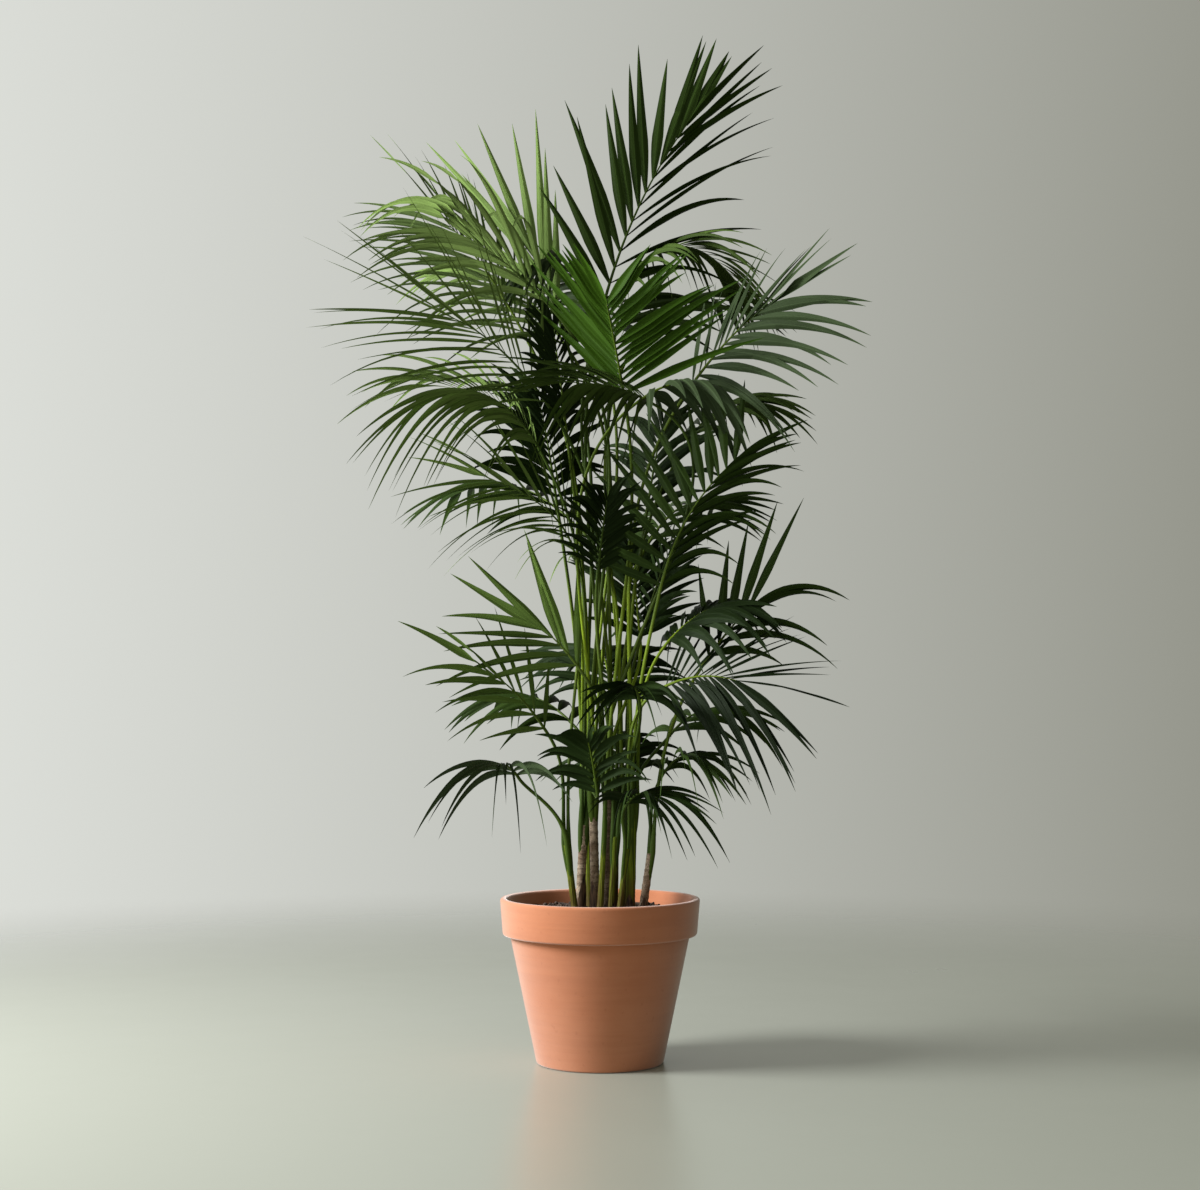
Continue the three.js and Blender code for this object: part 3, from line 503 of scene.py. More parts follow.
# A frond's rib runs from neck to tip. arch lifts its middle and sway moves it to +X. roll turns the
# blade about the rib, in degrees. pairs and wide are the number and the width of its leaflets. leaf
# (their greatest length), fold (up out of the blade) and tilt (turn about their own length) are for
# both sides, or for the right and then the left. droop, the fall of a tip as a share of the length, has
# the first and last on the right, then on the left. sweep (angle to the rib) and ends (share of the
# full length) have one for the first pair and one for the last. bias is added to the sweep on the right
# and taken from it on the left. A row leaves out what is usual.
usual = dict(sway=0, roll=0, fold=5, sweep=(60, 25), ends=(0.75, 0.5), bias=0, tilt=26)
fronds = [
    dict(name="top_right", cane=10, neck=(6, 10, 1388), tip=(189, 60, 1781), arch=12, sway=-18, roll=82,
         pairs=14, leaf=(345, 290), wide=24, fold=0, droop=(0.34, 0.04, 0.02, 0), sweep=(40, 6),
         ends=(0.78, 0.5), tilt=(72, 8), look="deep"),
    dict(name="top_left", cane=3, neck=(-97, 0, 1390), tip=(-247, 10, 1517), arch=10, roll=-74, pairs=7,
         leaf=(420, 290), wide=24, fold=6, droop=(0.56, 0.5, 0.5, 0.4), sweep=(26, 14), ends=(1, 0.8),
         bias=4, tilt=(8, 52), look="olive"),
    dict(name="top_left_tall", cane=9, neck=(-79, 60, 1376), tip=(-133, 75, 1510), arch=4, roll=-80,
         pairs=5, leaf=310, wide=19, fold=(5, 0), droop=(0, 0, 0.04, 0.08), sweep=(24, 9),
         ends=(0.6, 0.97), bias=-3, tilt=(18, 30), look="lime"),
    dict(name="left_mid", cane=2, neck=(-96, -20, 1197), tip=(-270, -60, 1351), arch=22, roll=-74,
         pairs=10, leaf=310, wide=14, fold=4, droop=(0.05, 0.04, 0.34, 0.1), sweep=(47, 10),
         ends=(0.6, 0.95), bias=-8, tilt=(30, 66), look="leafy"),
    dict(name="left_droop", cane=2, neck=(-113, -50, 1115), tip=(-273, -110, 1213), arch=28, sway=10,
         roll=-38, pairs=13, leaf=250, wide=18, fold=(5, 0), droop=(0.55, 0.5, 0.7, 0.6), sweep=(60, 22),
         ends=(0.6, 0.85), tilt=(30, 38), look="leafy"),
    dict(name="left_low", cane=1, neck=(-42, 5, 901), tip=(-203, -60, 1055), arch=16, sway=34, roll=-66,
         pairs=12, leaf=240, wide=16, fold=(5, 0), droop=(0.12, 0.12, 0.42, 0.25), sweep=(54, 18),
         ends=(0.75, 0.75), bias=-10, tilt=(20, 68), look="leafy"),
    dict(name="low_left_upper", cane=2, neck=(-36, -45, 708), tip=(-107, -40, 785), arch=6, roll=-74,
         pairs=5, leaf=222, wide=21, fold=0, droop=(0, 0, 0.3, 0.16), sweep=(50, 8), ends=(0.85, 1),
         bias=-12, tilt=(8, 58), look="meadow"),
    dict(name="low_left", cane=1, neck=(-94, -40, 592), tip=(-194, -70, 700), arch=12, roll=-62, pairs=6,
         leaf=(190, 180), wide=17, fold=0, droop=(0.1, 0.12, 0.34, 0.22), sweep=(60, 6), ends=(0.8, 1),
         bias=-8, tilt=(24, 50), look="meadow"),
    dict(name="lowest_left", cane=1, neck=(-147, -70, 516), tip=(-179, -140, 539), arch=8, pairs=5,
         leaf=190, wide=18, fold=8, droop=(0.8, 0.6, 0.9, 0.8), sweep=(72, 22), tilt=22,
         look="greyGreen"),
    dict(name="right_behind", cane=10, neck=(34, 52, 1428), tip=(274, 120, 1444), arch=84, pairs=15,
         leaf=190, wide=14, droop=(0.5, 0.4, 0.75, 0.6), sweep=(66, 26), ends=(0.8, 0.45), tilt=(30, 40),
         look="mossy"),
    dict(name="right_out", cane=7, neck=(167, 10, 1234), tip=(317, -30, 1385), arch=15, roll=66, pairs=11,
         leaf=232, wide=21, fold=(0, 6), droop=(0.55, 0.1, 0.2, 0.02), sweep=(50, 14), ends=(0.8, 0.85),
         bias=12, tilt=(18, 38), look="greyGreen"),
    dict(name="front_bright", cane=4, neck=(44, -60, 1207), tip=(11, -150, 1360), arch=5, roll=20,
         pairs=13, leaf=258, wide=19, fold=(50, 0), droop=(0.05, 0.05, 0.1, 0.08), sweep=(60, 36),
         ends=(1, 0.45), bias=-8, tilt=(42, 34), look="bright"),
    dict(name="right_front", cane=7, neck=(109, -60, 853), tip=(251, -60, 1093), arch=16, sway=-18,
         roll=74, pairs=14, leaf=215, wide=19, fold=0, droop=(0.6, 0.16, 0.05, 0), sweep=(60, 24),
         ends=(0.75, 0.7), bias=-18, tilt=(55, 8), look="deep"),
    dict(name="right_far", cane=8, neck=(193, 0, 724), tip=(280, 0, 827), arch=6, roll=64, pairs=5,
         leaf=235, wide=20, fold=(0, 4), droop=(0.45, 0.34, 0.02, 0.03), sweep=(44, 8), ends=(0.55, 1),
         bias=-4, tilt=(45, 6), look="deep"),
    dict(name="right_fan", cane=6, neck=(115, -60, 677), tip=(246, -100, 687), arch=14, roll=52, pairs=12,
         leaf=212, wide=17, fold=0, droop=(0.42, 0.3, 0.12, 0.1), sweep=(68, 22), ends=(0.72, 0.85),
         bias=2, tilt=(20, 30), look="slate"),
    dict(name="low_right", cane=6, neck=(46, -84, 465), tip=(88, -132, 485), arch=12, pairs=6, leaf=175,
         wide=15, droop=(0.7, 0.65, 0.8, 0.7), sweep=(64, 24), look="dusk"),
    dict(name="low_right_back", cane=8, neck=(113, -10, 516), tip=(170, -40, 549), arch=16, pairs=7,
         leaf=185, wide=13, droop=(0.8, 0.6, 0.7, 0.6), sweep=(62, 24), look="deep"),
    dict(name="crest_back", cane=9, neck=(-15, 110, 1388), tip=(-100, 60, 1483), arch=35, pairs=9,
         leaf=170, wide=18, droop=(0.9, 0.9, 0.9, 0.9), sweep=(64, 28), look="greyGreen"),
    dict(name="centre_front", cane=3, neck=(91, -70, 1194), tip=(-32, -150, 1213), arch=10, roll=-35,
         pairs=10, leaf=215, wide=18, fold=4, droop=(0.35, 0.3, 0.65, 0.55), sweep=(60, 20),
         ends=(0.75, 0.7), tilt=(25, 40), look="mossy"),
    dict(name="right_back", cane=11, neck=(170, 80, 1148), tip=(300, 140, 1223), arch=30, pairs=10,
         leaf=190, wide=16, droop=(0.45, 0.45, 0.5, 0.5), look="mossy"),
    dict(name="centre_back", cane=10, neck=(75, 60, 768), tip=(55, 160, 953), arch=20, pairs=10, leaf=180,
         wide=18, fold=8, droop=(0.25, 0.25, 0.25, 0.25), sweep=(55, 22), look="shade"),
    dict(name="centre_low", cane=5, neck=(70, -90, 653), tip=(55, -160, 673), arch=12, pairs=6, leaf=130,
         wide=19, droop=(0.7, 0.7, 0.7, 0.7), sweep=(64, 25), look="dusk"),
    dict(name="low_centre", cane=3, neck=(-4, -74, 482), tip=(-21, -114, 579), arch=8, roll=8, pairs=6,
         leaf=140, wide=19, droop=(0.55, 0.4, 0.6, 0.4), sweep=(62, 22), tilt=24, look="dusk"),
    dict(name="left_back", cane=9, neck=(-136, 70, 1332), tip=(-287, 90, 1561), arch=16, roll=-68,
         pairs=12, leaf=250, wide=13, fold=4, droop=(0.2, 0.16, 0.52, 0.25), sweep=(44, 14),
         ends=(0.75, 0.92), bias=-6, tilt=(40, 45), look="fresh"),
    dict(name="right_dark", cane=7, neck=(124, -20, 760), tip=(229, 10, 831), arch=12, roll=8, pairs=7,
         leaf=165, wide=25, fold=4, droop=(0.6, 0.5, 0.6, 0.5), sweep=(70, 30), ends=(0.8, 0.7), tilt=20,
         look="shade"),
    dict(name="centre_dark", cane=5, neck=(-4, -60, 885), tip=(13, -90, 1013), arch=8, roll=10, pairs=8,
         leaf=150, wide=15, droop=(0.35, 0.3, 0.4, 0.3), sweep=(60, 24), look="shade"),
    dict(name="right_hang", cane=3, neck=(83, -100, 1200), tip=(186, -125, 1217), arch=12, pairs=4,
         leaf=150, wide=26, fold=0, droop=(0.9, 0.9, 0.9, 0.9), sweep=(75, 40), ends=(1, 0.9), tilt=12,
         look="greyGreen"),
    dict(name="inner_low", cane=11, neck=(75, 45, 766), tip=(136, 85, 947), arch=10, pairs=7, leaf=165,
         wide=18, fold=4, droop=(0.4, 0.35, 0.4, 0.35), sweep=(60, 24), ends=(0.75, 0.6), look="dusk"),
    dict(name="inner_left", cane=9, neck=(-82, 50, 1029), tip=(-114, 100, 1217), arch=10, pairs=7,
         leaf=200, wide=21, fold=4, droop=(0.35, 0.3, 0.4, 0.3), sweep=(60, 24), ends=(0.75, 0.6),
         look="shade"),
    dict(name="inner_top", cane=9, neck=(-63, 16, 1156), tip=(-90, 34, 1363), arch=10, pairs=7, leaf=165,
         wide=18, fold=4, droop=(0.3, 0.25, 0.35, 0.3), sweep=(60, 24), ends=(0.75, 0.6), look="shade"),
    dict(name="low_back", cane=12, neck=(41, 78, 509), tip=(31, 170, 582), arch=10, pairs=7, leaf=170,
         wide=18, fold=4, droop=(0.5, 0.5, 0.5, 0.5), sweep=(60, 24), ends=(0.75, 0.6), look="dusk"),
    dict(name="inner_right", cane=12, neck=(87, 66, 1002), tip=(122, 112, 1190), arch=10, pairs=7,
         leaf=175, wide=18, fold=4, droop=(0.4, 0.3, 0.35, 0.3), sweep=(60, 24), ends=(0.75, 0.6),
         look="shade"),
    dict(name="back_top_left", cane=13, neck=(-60, 70, 1318), tip=(-270, 320, 1528), arch=40, pairs=10,
         leaf=250, wide=20, droop=(0.35, 0.35, 0.4, 0.4), look="olive"),
    dict(name="back_top", cane=12, neck=(25, 90, 1318), tip=(60, 350, 1458), arch=50, pairs=8, leaf=250,
         wide=20, droop=(0.35, 0.35, 0.35, 0.35), look="deep"),
    dict(name="back_top_right", cane=12, neck=(69, 95, 1337), tip=(268, 320, 1452), arch=50, pairs=8,
         leaf=220, wide=19, droop=(0.4, 0.4, 0.45, 0.45), look="deep"),
    dict(name="back_mid_left", cane=13, neck=(-50, 80, 988), tip=(-290, 300, 1068), arch=45, pairs=9,
         leaf=220, wide=19, droop=(0.4, 0.4, 0.45, 0.45), look="deep"),
    dict(name="back_mid_right", cane=11, neck=(90, 90, 948), tip=(230, 310, 1038), arch=40, pairs=9,
         leaf=210, wide=19, droop=(0.4, 0.4, 0.4, 0.4), look="deep"),
    dict(name="back_low", cane=12, neck=(23, 95, 655), tip=(-4, 260, 751), arch=30, pairs=8, leaf=220,
         wide=20, droop=(0.4, 0.4, 0.45, 0.45), look="shade"),
    dict(name="back_low_left", cane=13, neck=(-50, 80, 608), tip=(-190, 220, 658), arch=25, pairs=7,
         leaf=180, wide=20, droop=(0.5, 0.5, 0.5, 0.5), look="deep"),
    dict(name="back_low_right", cane=11, neck=(130, 70, 588), tip=(250, 220, 628), arch=25, pairs=7,
         leaf=180, wide=20, droop=(0.55, 0.55, 0.55, 0.55), look="deep"),
]
fronds = [usual | frond for frond in fronds]

# a frond's look names its colour here, and how fine its leaflets are in the dictionary of leaflets
# painted light and shade: several looks are lit and shaded copies of one leaf green. leafy, olive and
# meadow are painted lighter for the fronds on the left that face the window. shade, dusk and slate are
# painted shade: they are darker for the fronds inside and behind the crown, low in the middle and low on
# the right
leafColours = {
    "deep": (0.0145, 0.029, 0.003), "shade": (0.010, 0.020, 0.004), "slate": (0.0045, 0.0095, 0.0018),
    "dusk": (0.010, 0.021, 0.003), "mossy": (0.035, 0.060, 0.010), "leafy": (0.098, 0.152, 0.034),
    "meadow": (0.078, 0.128, 0.024), "olive": (0.110, 0.165, 0.042), "fresh": (0.100, 0.150, 0.045),
    "lime": (0.140, 0.215, 0.055), "bright": (0.020, 0.050, 0.001), "greyGreen": (0.031, 0.048, 0.019),
}

# seatRadius to ribSteps place the stalks. Straight bars stand in for them, in steps and ribSteps, with
# barRadii at the foot, the neck and the tip. The others shape the surface. clasp is the sheath's share
# of the cane's radius where a cane has several stalks, and loneClasp where it has one.
stalk = {
    "seatRadius": 3.8, "seatGap": 0.3, "clearance": 0.8, "plumbShare": 0.6, "lowerArm": 0.45,
    "upperArm": 0.35, "bowStep": 7, "bowSteps": 8, "bowBearings": 12, "barRadii": (3.8, 3.2, 1.5),
    "steps": 8, "ribSteps": 7,
    "radius": 3.5, "neckRadius": 3.0, "ribEndRadius": 0.8, "ribTaper": 0.8, "fineSteps": 44,
    "fineRibSteps": 34, "lapSteps": 16, "sides": 12, "groove": 0.22, "grooveFrom": 0.5,
    "sheathDepth": 80, "sheathRise": 60, "clasp": 0.78, "loneClasp": 1.06, "lapOffset": 0.25,
    "lapFoot": 0.55, "lapLength": 45,
    # green is the stalks' dark green; it is also the painted shade low down on the stalks and high up
    # inside the crown
    "lime": (0.210, 0.300, 0.016), "green": (0.023, 0.045, 0.006), "olive": (0.060, 0.090, 0.011),
}

# Widths are shares of the greatest one, and places are shares of the length. Each kind of unevenness
# has its own series of scattered numbers. finer is how many times more leaflets a frond has by its
# look, and how wide each one then is. pale, midrib and deep change the colour of a leaf: times and plus.
leaflet = {
    "stations": 15, "across": 5, "ridge": 0.42, "pleat": 0.12, "twist": 0.28, "rootTwist": 0.3,
    "curl": 0.05, "rootWidth": 0.22, "tipWidth": 0.006, "widestAt": 0.36, "taper": 0.8,
    "firstPair": 0.4, "longestAt": 0.35, "risePower": 2, "fallPower": 1.6, "droopPower": 2.2,
    "sweepScatter": 8, "lengthScatter": 0.14, "droopScatter": 0.5,
    "series": {"sweep": 0, "length": 50, "droop": 100, "curl": 150, "twist": 200, "tone": 250},
    "pale": (1.9, 0.004), "midrib": (2.4, 0.008), "deep": (0.55, 0),
    "finer": {"deep": (1, 0.90), "shade": (2, 0.85), "slate": (1.2, 0.85), "dusk": (1.5, 0.76),
              "mossy": (1.5, 0.78), "leafy": (1.5, 0.61), "meadow": (1, 0.92), "olive": (1.5, 0.62),
              "fresh": (1.7, 0.66), "lime": (1, 0.95), "bright": (1.2, 0.88), "greyGreen": (1.2, 0.82)},
}


def ribPoints(frond, t):
    # a curve from neck to tip that bends towards the middle, and its direction
    t = np.asarray(t, dtype=float)[:, None]
    neck, tip = np.array(frond["neck"], dtype=float), np.array(frond["tip"], dtype=float)
    bend = (neck + tip) / 2 + np.array([2 * frond["sway"], 0, 2 * frond["arch"]])
    point = neck * (1 - t) ** 2 + bend * 2 * t * (1 - t) + tip * t ** 2
    return point, unit((bend - neck) * (1 - t) + (tip - bend) * t)


def ribFrame(frond, t):
    # place and direction on the rib, the blade's direction to the right, and the one out of the blade
    point, along = ribPoints(frond, t)
    flat = unit(np.cross(along, up))
    roll = math.radians(frond["roll"])
    across = flat * math.cos(roll) + np.cross(along, flat) * math.sin(roll)
    return point, along, across, np.cross(across, along)


def seatsOn(number):
    # the stalks of a cane stand evenly round its top, each as near as can be to the side of its frond
    top = caneEnds(canes[number])[1]
    mine = [i for i, frond in enumerate(fronds) if frond["cane"] == number + 1]
    necks = np.array([fronds[i]["neck"] for i in mine], dtype=float)
    bearing = np.arctan2(necks[:, 1] - top[1], necks[:, 0] - top[0])
    order = np.argsort(bearing, kind="stable")
    steps = around(len(mine))
    spare = bearing[order] - steps
    turn = math.atan2(np.sin(spare).sum(), np.cos(spare).sum())
    # half the space between two seats, over the sine of half the angle between them
    room = stalk["seatRadius"] + stalk["clearance"]
    reach = room / math.sin(math.pi / len(mine)) if len(mine) > 1 else 0
    ring = ringPoints(reach, turn + steps, stalk["seatGap"])
    return {mine[k]: top + offset for k, offset in zip(order, ring)}


def stalkPoints(frond, seat, bows, t):
    # a cubic curve from seat to neck: it leaves near plumb, bows aside and meets the rib's direction
    foot, top = caneEnds(canes[frond["cane"] - 1])
    neck, along = (a[0] for a in ribPoints(frond, [0.0]))
    start = unit(mix(unit(top - foot), up, stalk["plumbShare"]))
    span = np.linalg.norm(neck - seat)
    lower = seat + start * stalk["lowerArm"] * span + bows
    upper = neck - along * stalk["upperArm"] * span + bows / 2
    t = np.asarray(t, dtype=float)[:, None]
    lower, upper = lower[:, None], upper[:, None]
    left = 1 - t
    return seat * left ** 3 + lower * 3 * t * left ** 2 + upper * 3 * t ** 2 * left + neck * t ** 3


def roomBetween(spines, radii, others, otherRadii):
    # least distance between straight bars, less their radii, for each of several trial spines
    a0, along = spines[:, :-1, None], spines[:, 1:, None] - spines[:, :-1, None]
    b0, beside = others[None, None, :, 0], others[None, None, :, 1] - others[None, None, :, 0]
    between = a0 - b0
    aa, bb, ab = (along ** 2).sum(-1), (beside ** 2).sum(-1), (along * beside).sum(-1)
    ar, br = (along * between).sum(-1), (beside * between).sum(-1)
    s = np.clip((ab * br - ar * bb) / np.maximum(aa * bb - ab ** 2, tiny), 0, 1)
    t = np.clip((ab * s + br) / bb, 0, 1)
    s = np.clip((ab * t - ar) / aa, 0, 1)
    apart = np.linalg.norm(between + along * s[..., None] - beside * t[..., None], axis=-1)
    return (apart - radii[None, :-1, None] - otherRadii[None, None]).min((1, 2))


def growStalks():
    # each stalk goes straight to its frond, or bows aside by the least that clears those before it
    reach = np.arange(1, stalk["bowSteps"] + 1)[:, None] * stalk["bowStep"]
    ring = ringPoints(reach, around(stalk["bowBearings"]), 0).reshape(-1, 3)
    bows = np.concatenate([np.zeros((1, 3)), ring])
    first, neck, last = stalk["barRadii"]
    n, m = stalk["steps"], stalk["ribSteps"]
    stemRadii, ribRadii = mix(first, neck, np.arange(n + 1) / n), mix(neck, last, np.arange(1, m + 1) / m)
    radii = np.concatenate([stemRadii, ribRadii])
    caneBars = np.array([caneEnds(cane) for cane in canes])
    caneRadii = np.array([cane["footRadius"] for cane in canes], dtype=float)
    seats = {i: seat for number in range(len(canes)) for i, seat in seatsOn(number).items()}
    bars, barRadii, chosen = [], [], []
    for i, frond in enumerate(fronds):
        stem = stalkPoints(frond, seats[i], bows, np.arange(n + 1) / n)
        rib = ribPoints(frond, np.arange(1, m + 1) / m)[0]
        spines = np.concatenate([stem, np.broadcast_to(rib, (len(bows), *rib.shape))], 1)
        strange = np.arange(len(canes)) != frond["cane"] - 1
        others = np.concatenate([caneBars[strange], *bars])
        otherRadii = np.concatenate([caneRadii[strange], *barRadii])
        room = roomBetween(spines, radii, others, otherRadii)
        clear = np.flatnonzero(room > stalk["clearance"])
        pick = clear[0] if len(clear) else np.argmax(room)
        bars.append(np.stack([spines[pick, :-1], spines[pick, 1:]], 1))
        barRadii.append(radii[:-1])
        chosen.append((seats[i], bows[pick]))
    return chosen


def tube(path, radius, side, sides):
    # a ring of points round each place of a path, with a groove along its upper side; side is the
    # direction that the first point faces
    along = unit(np.gradient(path, axis=0))
    across = squareTo(side, along)
    above = np.cross(across, along)
    angle = around(sides)[None, :, None]
    start = stalk["grooveFrom"]
    hollow = 1 - stalk["groove"] * smooth((np.sin(angle) - start) / (1 - start))
    return path[:, None] + radius[:, None, None] * hollow * (np.cos(angle) * across[:, None]
                                                            + np.sin(angle) * above[:, None])


def stalkSurface(frond, seat, bow):
    # from inside the cane up the stalk and out to the rib's tip. The foot widens to a sheath that
    # clasps the cane, and narrows to the stalk over sheathRise
    cane = canes[frond["cane"] - 1]
    foot, top = caneEnds(cane)
    down = unit(foot - top)
    depth = np.linspace(stalk["sheathDepth"], 0, stalk["lapSteps"], endpoint=False)
    ease = smooth(1 - depth / stalk["sheathDepth"])[:, None]
    lap = top + down * depth[:, None] + (seat - top) * mix(stalk["lapOffset"], 1, ease)
    stem = stalkPoints(frond, seat, bow[None], np.linspace(0, 1, stalk["fineSteps"]))[0]
    rib = ribPoints(frond, np.linspace(0, 1, stalk["fineRibSteps"])[1:])[0]
    path = np.concatenate([lap, stem, rib])
    steps = np.linalg.norm(np.diff(stem, axis=0, prepend=stem[:1]), axis=1)
    reach = np.concatenate([-depth, np.cumsum(steps)])
    lone = np.allclose(seat[:2], top[:2])
    clasp = cane["topRadius"] * (stalk["loneClasp"] if lone else stalk["clasp"])
    share = smooth(reach / stalk["sheathRise"])
    slim = mix(stalk["radius"], stalk["neckRadius"], np.clip(reach / reach[-1], 0, 1))
    swell = smooth((reach + stalk["sheathDepth"]) / stalk["lapLength"])
    stemRadius = mix(clasp, slim, share) * mix(stalk["lapFoot"], 1, swell)
    out = np.linspace(0, 1, len(rib)) ** stalk["ribTaper"]
    ribRadius = mix(stalk["neckRadius"], stalk["ribEndRadius"], out)
    radius = np.concatenate([stemRadius, ribRadius])
    radius[[0, -1]] = 0
    across = ribFrame(frond, [0.0])[2]
    return tube(path, radius, across, stalk["sides"])


def leafletSurface(number, frond):
    # one row of arrays for each leaflet. Its middle runs straight along its heading and falls by its
    # droop as a power of the way out. It is narrow at the root, widest at about a third and runs to a
    # point, with a ridge along the middle and a shallow pleat beside it
    finer, slimmer = leaflet["finer"][frond["look"]]
    pairs = round(frond["pairs"] * finer)
    pair, side = (a.ravel() for a in np.meshgrid(np.arange(pairs), [1, -1], indexing="ij"))
    t = (pair + leaflet["firstPair"]) / (pairs - 1 + 2 * leaflet["firstPair"])
    root, along, across, above = ribFrame(frond, t)
    right = side > 0
    luck = {kind: scatter(number, side, pair + start) for kind, start in leaflet["series"].items()}
    sweep = mix(*frond["sweep"], t) + side * frond["bias"]
    sweep = np.radians(sweep + leaflet["sweepScatter"] * luck["sweep"])[:, None]
    bySide = {key: np.where(right, *np.broadcast_to(frond[key], 2)) for key in ("leaf", "fold", "tilt")}
    fold, tilt = np.radians(bySide["fold"])[:, None], np.radians(bySide["tilt"])[:, None]
    first, final = frond["ends"]
    rise = np.maximum(0, 1 - t / leaflet["longestAt"])
    fall = np.maximum(0, (t - leaflet["longestAt"]) / (1 - leaflet["longestAt"]))
    share = 1 - (1 - first) * rise ** leaflet["risePower"] - (1 - final) * fall ** leaflet["fallPower"]
    length = bySide["leaf"] * share
    length = length * (1 + leaflet["lengthScatter"] * luck["length"])
    rightFirst, rightLast, leftFirst, leftLast = frond["droop"]
    droop = np.where(right, mix(rightFirst, rightLast, t), mix(leftFirst, leftLast, t))
    droop = droop * (1 + leaflet["droopScatter"] * luck["droop"])
    outward = across * side[:, None] * np.cos(fold) + above * np.sin(fold)
    heading = along * np.cos(sweep) + outward * np.sin(sweep)
    s = np.linspace(0, 1, leaflet["stations"])
    way = (length[:, None] * s)[..., None]
    fallen = (length * droop)[:, None] * s ** leaflet["droopPower"]
    curl = (length * leaflet["curl"] * luck["curl"])[:, None] * s ** 2
    middle = root[:, None] + heading[:, None] * way - up * fallen[..., None]
    middle = middle + along[:, None] * curl[..., None]
    ahead = unit(np.gradient(middle, axis=1))
    flat = squareTo(along[:, None], ahead)
    under = np.cross(flat, ahead) * side[:, None, None]
    turn = tilt + leaflet["twist"] * luck["twist"][:, None] * (leaflet["rootTwist"] + s)
    cosine, sine = np.cos(turn)[..., None], np.sin(turn)[..., None]
    edge, below = flat * cosine - under * sine, under * cosine + flat * sine
    widen = leaflet["rootWidth"] + (1 - leaflet["rootWidth"]) * np.sin(
        np.pi / 2 * np.clip(s / leaflet["widestAt"], 0, 1))
    narrow = np.clip((1 - s) / (1 - leaflet["widestAt"]), leaflet["tipWidth"], 1) ** leaflet["taper"]
    half = frond["wide"] / 2 * slimmer * widen * narrow
    c = np.linspace(-1, 1, leaflet["across"])
    out = c[None, None, :, None] * -side[:, None, None, None]
    relief = leaflet["ridge"] * (1 - np.abs(c)) - leaflet["pleat"] * np.sin(np.pi * np.abs(c))
    points = (middle[:, :, None] + (edge * half[None, :, None])[:, :, None] * out
              - (below * half[None, :, None])[:, :, None] * relief[None, None, :, None])
    u = np.broadcast_to(c, (len(pair), len(s), len(c)))
    v = np.broadcast_to(s[:, None], u.shape)
    tone = np.broadcast_to(luck["tone"][:, None, None], u.shape)
    faces = gridFaces(len(s), len(c), copies=len(pair))
    return points, faces, np.stack([u, v], -1), tone


def changed(colour, times, plus):
    return tuple(times * part + plus for part in colour)


def leafMaterial(name, colour):
    # a matt leaf: pale along its middle, with fine veins along it, and some leaflets paler than others
    graph = Graph("leaf_" + name)
    cloud = graph.noise(graph.place(), 9.0)
    across = graph.parts(graph.node("ShaderNodeTexCoord", output=2))[0]
    pale, deep = changed(colour, *leaflet["pale"]), changed(colour, *leaflet["deep"])
    tone = graph.value("tone") * 0.5 + 0.5
    mixed = graph.blend(tone * 0.45 + cloud * 0.35, deep, pale)
    midrib = graph.ramp(abs(across), (0.0, 1), (0.16, 0))
    mixed = graph.blend(midrib * 0.4, mixed, changed(colour, *leaflet["midrib"]))
    vein = graph.node("ShaderNodeMath", {"operation": "SINE"}, {0: across * 38.0})
    mixed = graph.blend(vein * 0.16 + 0.16, mixed, deep)
    height = vein * 0.3 + midrib * 0.6
    return graph.finish(Base_Color=mixed, Roughness=0.42 + cloud * 0.16, Specular_IOR_Level=0.04,
                        Normal=graph.bump(height, 0.35, 0.0006))


def stalkMaterial():
    graph = Graph("leaf_stalk")
    place = graph.place()
    height = graph.parts(place)[2]
    patch = graph.noise(place, 7.0)
    fibre = graph.noise(graph.stretched(place, (300.0, 300.0, 8.0)), 1.0, 2.0)
    # painted shade: the stalks turn to their dark green low down among the lower leaves and high up
    # inside the crown, where the leaves shade them
    lowShade = graph.ramp(height + patch * 0.12, (0.56, 1), (0.80, 0))
    crownShade = graph.ramp(height + patch * 0.2, (0.90, 0), (1.15, 1))
    dull = graph.value("tone") * 0.5 + patch * 0.7
    colour = graph.blend(graph.ramp(dull, (0.0, 0), (0.62, 1)), stalk["lime"], stalk["olive"])
    colour = graph.blend(lowShade * 0.85, colour, stalk["green"])
    colour = graph.blend(crownShade * 0.75, colour, stalk["green"])
    colour = graph.blend(fibre * 0.25, colour, stalk["green"])
    return graph.finish(Base_Color=colour, Roughness=0.44 + fibre * 0.12, Specular_IOR_Level=0.08,
                        Normal=graph.bump(fibre, 0.2, 0.0006))


leafLooks = {name: leafMaterial(name, colour) for name, colour in leafColours.items()}
stalkLook = stalkMaterial()
for i, ((seat, bow), frond) in enumerate(zip(growStalks(), fronds)):
    node = "frond_" + frond["name"]
    rings = stalkSurface(frond, seat, bow)
    tone = np.full(rings.shape[:2], scatter(i, 3, 5))
    addPiece("stalk_" + frond["name"], rings, gridFaces(*rings.shape[:2], wrap=True), stalkLook, "frond",
             [node], values={"tone": tone}, weld=True)
    blades, faces, uv, tone = leafletSurface(i, frond)
    addPiece("leaflets_" + frond["name"], blades, faces, leafLooks[frond["look"]], "frond",
             [node], uv=uv, values={"tone": tone})
print("fronds made")


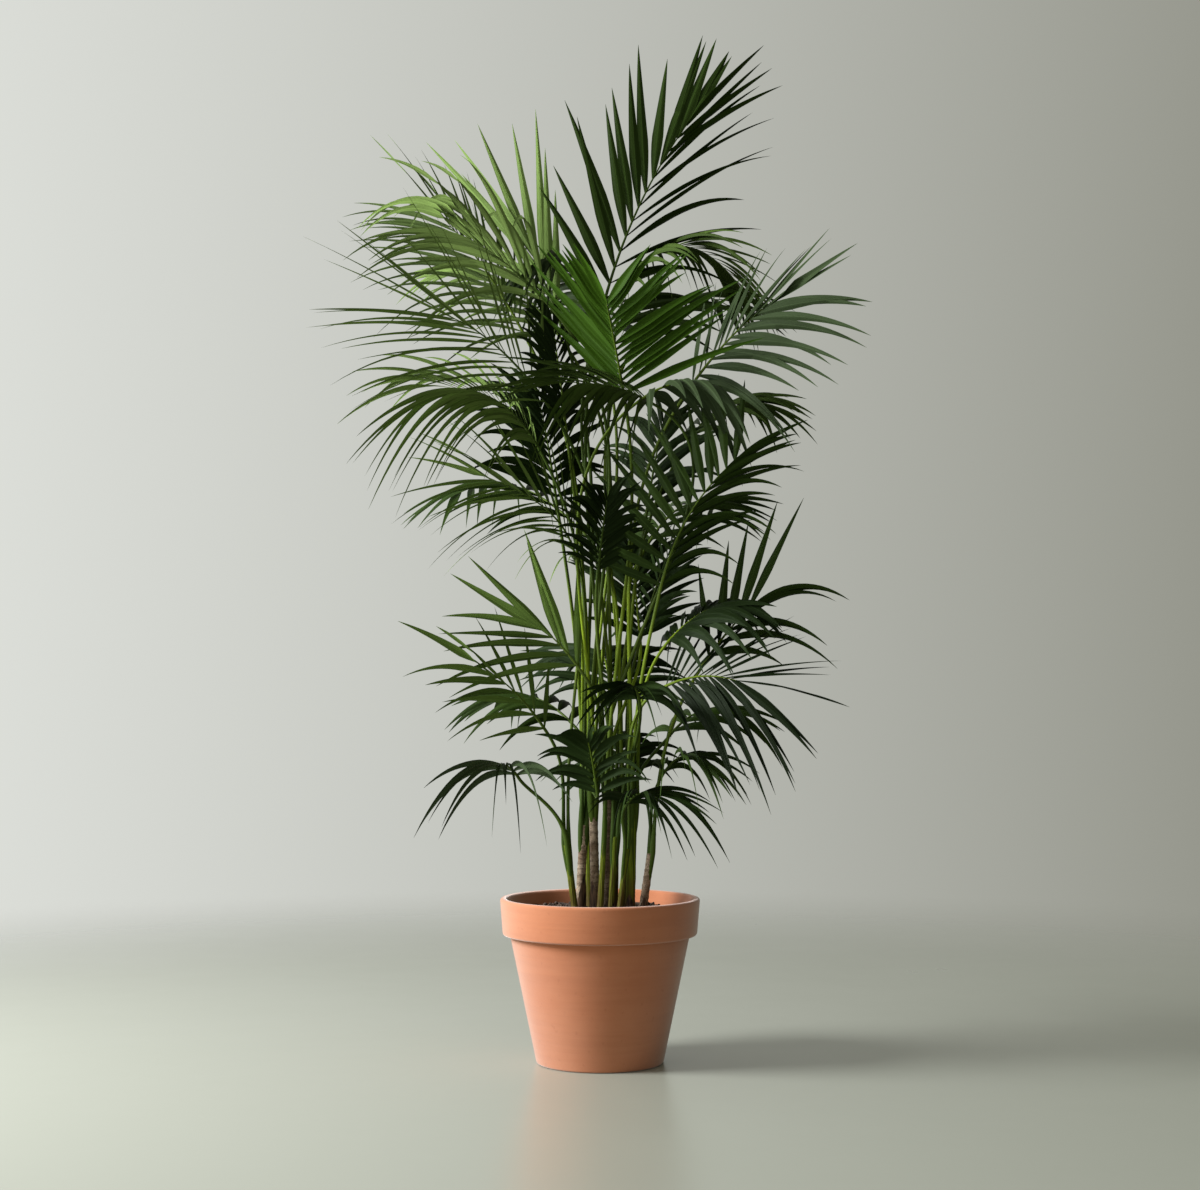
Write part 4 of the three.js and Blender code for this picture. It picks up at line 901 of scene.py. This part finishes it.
# Lengths here are in metres, as Blender has them, except floorDrop and sensor, in millimetres.
studio = {
    "floorRadius": 4.0, "floorDrop": 0.2, "floorSides": 128, "floorRings": 12,
    "floorColour": (0.276, 0.285, 0.240), "fadeFrom": 1.3, "fadeTo": 3.4,
    "brightSide": (0.905, 0.925, 0.885), "darkSide": (0.112, 0.110, 0.066), "roomWidth": 0.6,
    "key": {"place": (-3.0, -0.7, 2.1), "size": 1.5, "power": 292, "colour": (0.97, 0.99, 1.0)},
    "fill": {"place": (1.6, -3.0, 2.2), "size": 2.6, "power": 8, "colour": (1.0, 0.96, 0.90)},
    "lookAt": (0.0, 0.0, 0.95),
    "cameraPlace": (0.0, -3.428, 0.630), "cameraPitch": 3.628, "focalPixels": 1865, "frameWidth": 1200,
    "sensor": 36.0,
}


def addFloor():
    # a disc whose finish fades out with the distance from the pot
    radius = np.linspace(0, studio["floorRadius"] / metre, studio["floorRings"])[:, None]
    points = ringPoints(radius, around(studio["floorSides"]), -studio["floorDrop"])
    graph = Graph("studio_floor")
    place = graph.place()
    x, y, _ = graph.parts(place)
    distance = (x ** 2.0 + y ** 2.0) ** 0.5
    fade = graph.node("ShaderNodeMapRange", {"interpolation_type": "SMOOTHSTEP"},
                      {0: distance, 1: studio["fadeFrom"], 2: studio["fadeTo"]})
    grain = graph.noise(place, 3.0, 4.0)
    solid = graph.node("ShaderNodeBsdfPrincipled", {},
                       {"Base Color": (*studio["floorColour"], 1), "Roughness": 0.24 + grain * 0.12})
    clear = graph.node("ShaderNodeBsdfTransparent")
    surface = graph.node("ShaderNodeMixShader", {}, {0: fade, 1: solid, 2: clear})
    graph.node("ShaderNodeOutputMaterial", {}, {"Surface": surface})
    faces = gridFaces(*points.shape[:2], wrap=True)[:, ::-1]
    floor = addPiece("studio_floor", points, faces, graph.owner, None, weld=True)


def addLight(name, setting):
    light = bpy.data.lights.new(name, "AREA")
    light.shape, light.size = "DISK", setting["size"]
    light.energy, light.color = setting["power"], setting["colour"]
    lamp = bpy.data.objects.new(name, light)
    lamp.location = setting["place"]
    aim = np.array(studio["lookAt"]) - np.array(setting["place"])
    pitch = math.acos(-aim[2] / np.linalg.norm(aim))
    lamp.rotation_euler = (pitch, 0, math.atan2(aim[1], aim[0]) - math.pi / 2)
    bpy.context.scene.collection.objects.link(lamp)


def addWorld():
    # a plain room, brighter towards the window on the left: its colour changes evenly along X
    graph = Graph("studio", "worlds")
    width = studio["roomWidth"]
    x = graph.parts(graph.node("ShaderNodeTexCoord"))[0]
    across = graph.node("ShaderNodeMapRange", {}, {0: x, 1: -width, 2: width})
    colour = graph.blend(across, studio["brightSide"], studio["darkSide"])
    background = graph.node("ShaderNodeBackground", {}, {"Color": colour})
    graph.node("ShaderNodeOutputWorld", {}, {"Surface": background})
    bpy.context.scene.world = graph.owner


def addCamera():
    # a level camera tipped up a little; its lens follows from the focal length in frame widths
    camera = bpy.data.objects.new("camera", bpy.data.cameras.new("camera"))
    camera.data.sensor_fit = "HORIZONTAL"
    camera.data.sensor_width = studio["sensor"]
    camera.data.lens = studio["focalPixels"] / studio["frameWidth"] * studio["sensor"]
    camera.location = studio["cameraPlace"]
    camera.rotation_euler = (math.radians(90 + studio["cameraPitch"]), 0, 0)
    bpy.context.scene.collection.objects.link(camera)
    bpy.context.scene.camera = camera


addFloor()
for name in ("key", "fill"):
    addLight(name, studio[name])
addWorld()
addCamera()
bpy.context.scene.view_settings.view_transform = "Standard"
print("studio made")
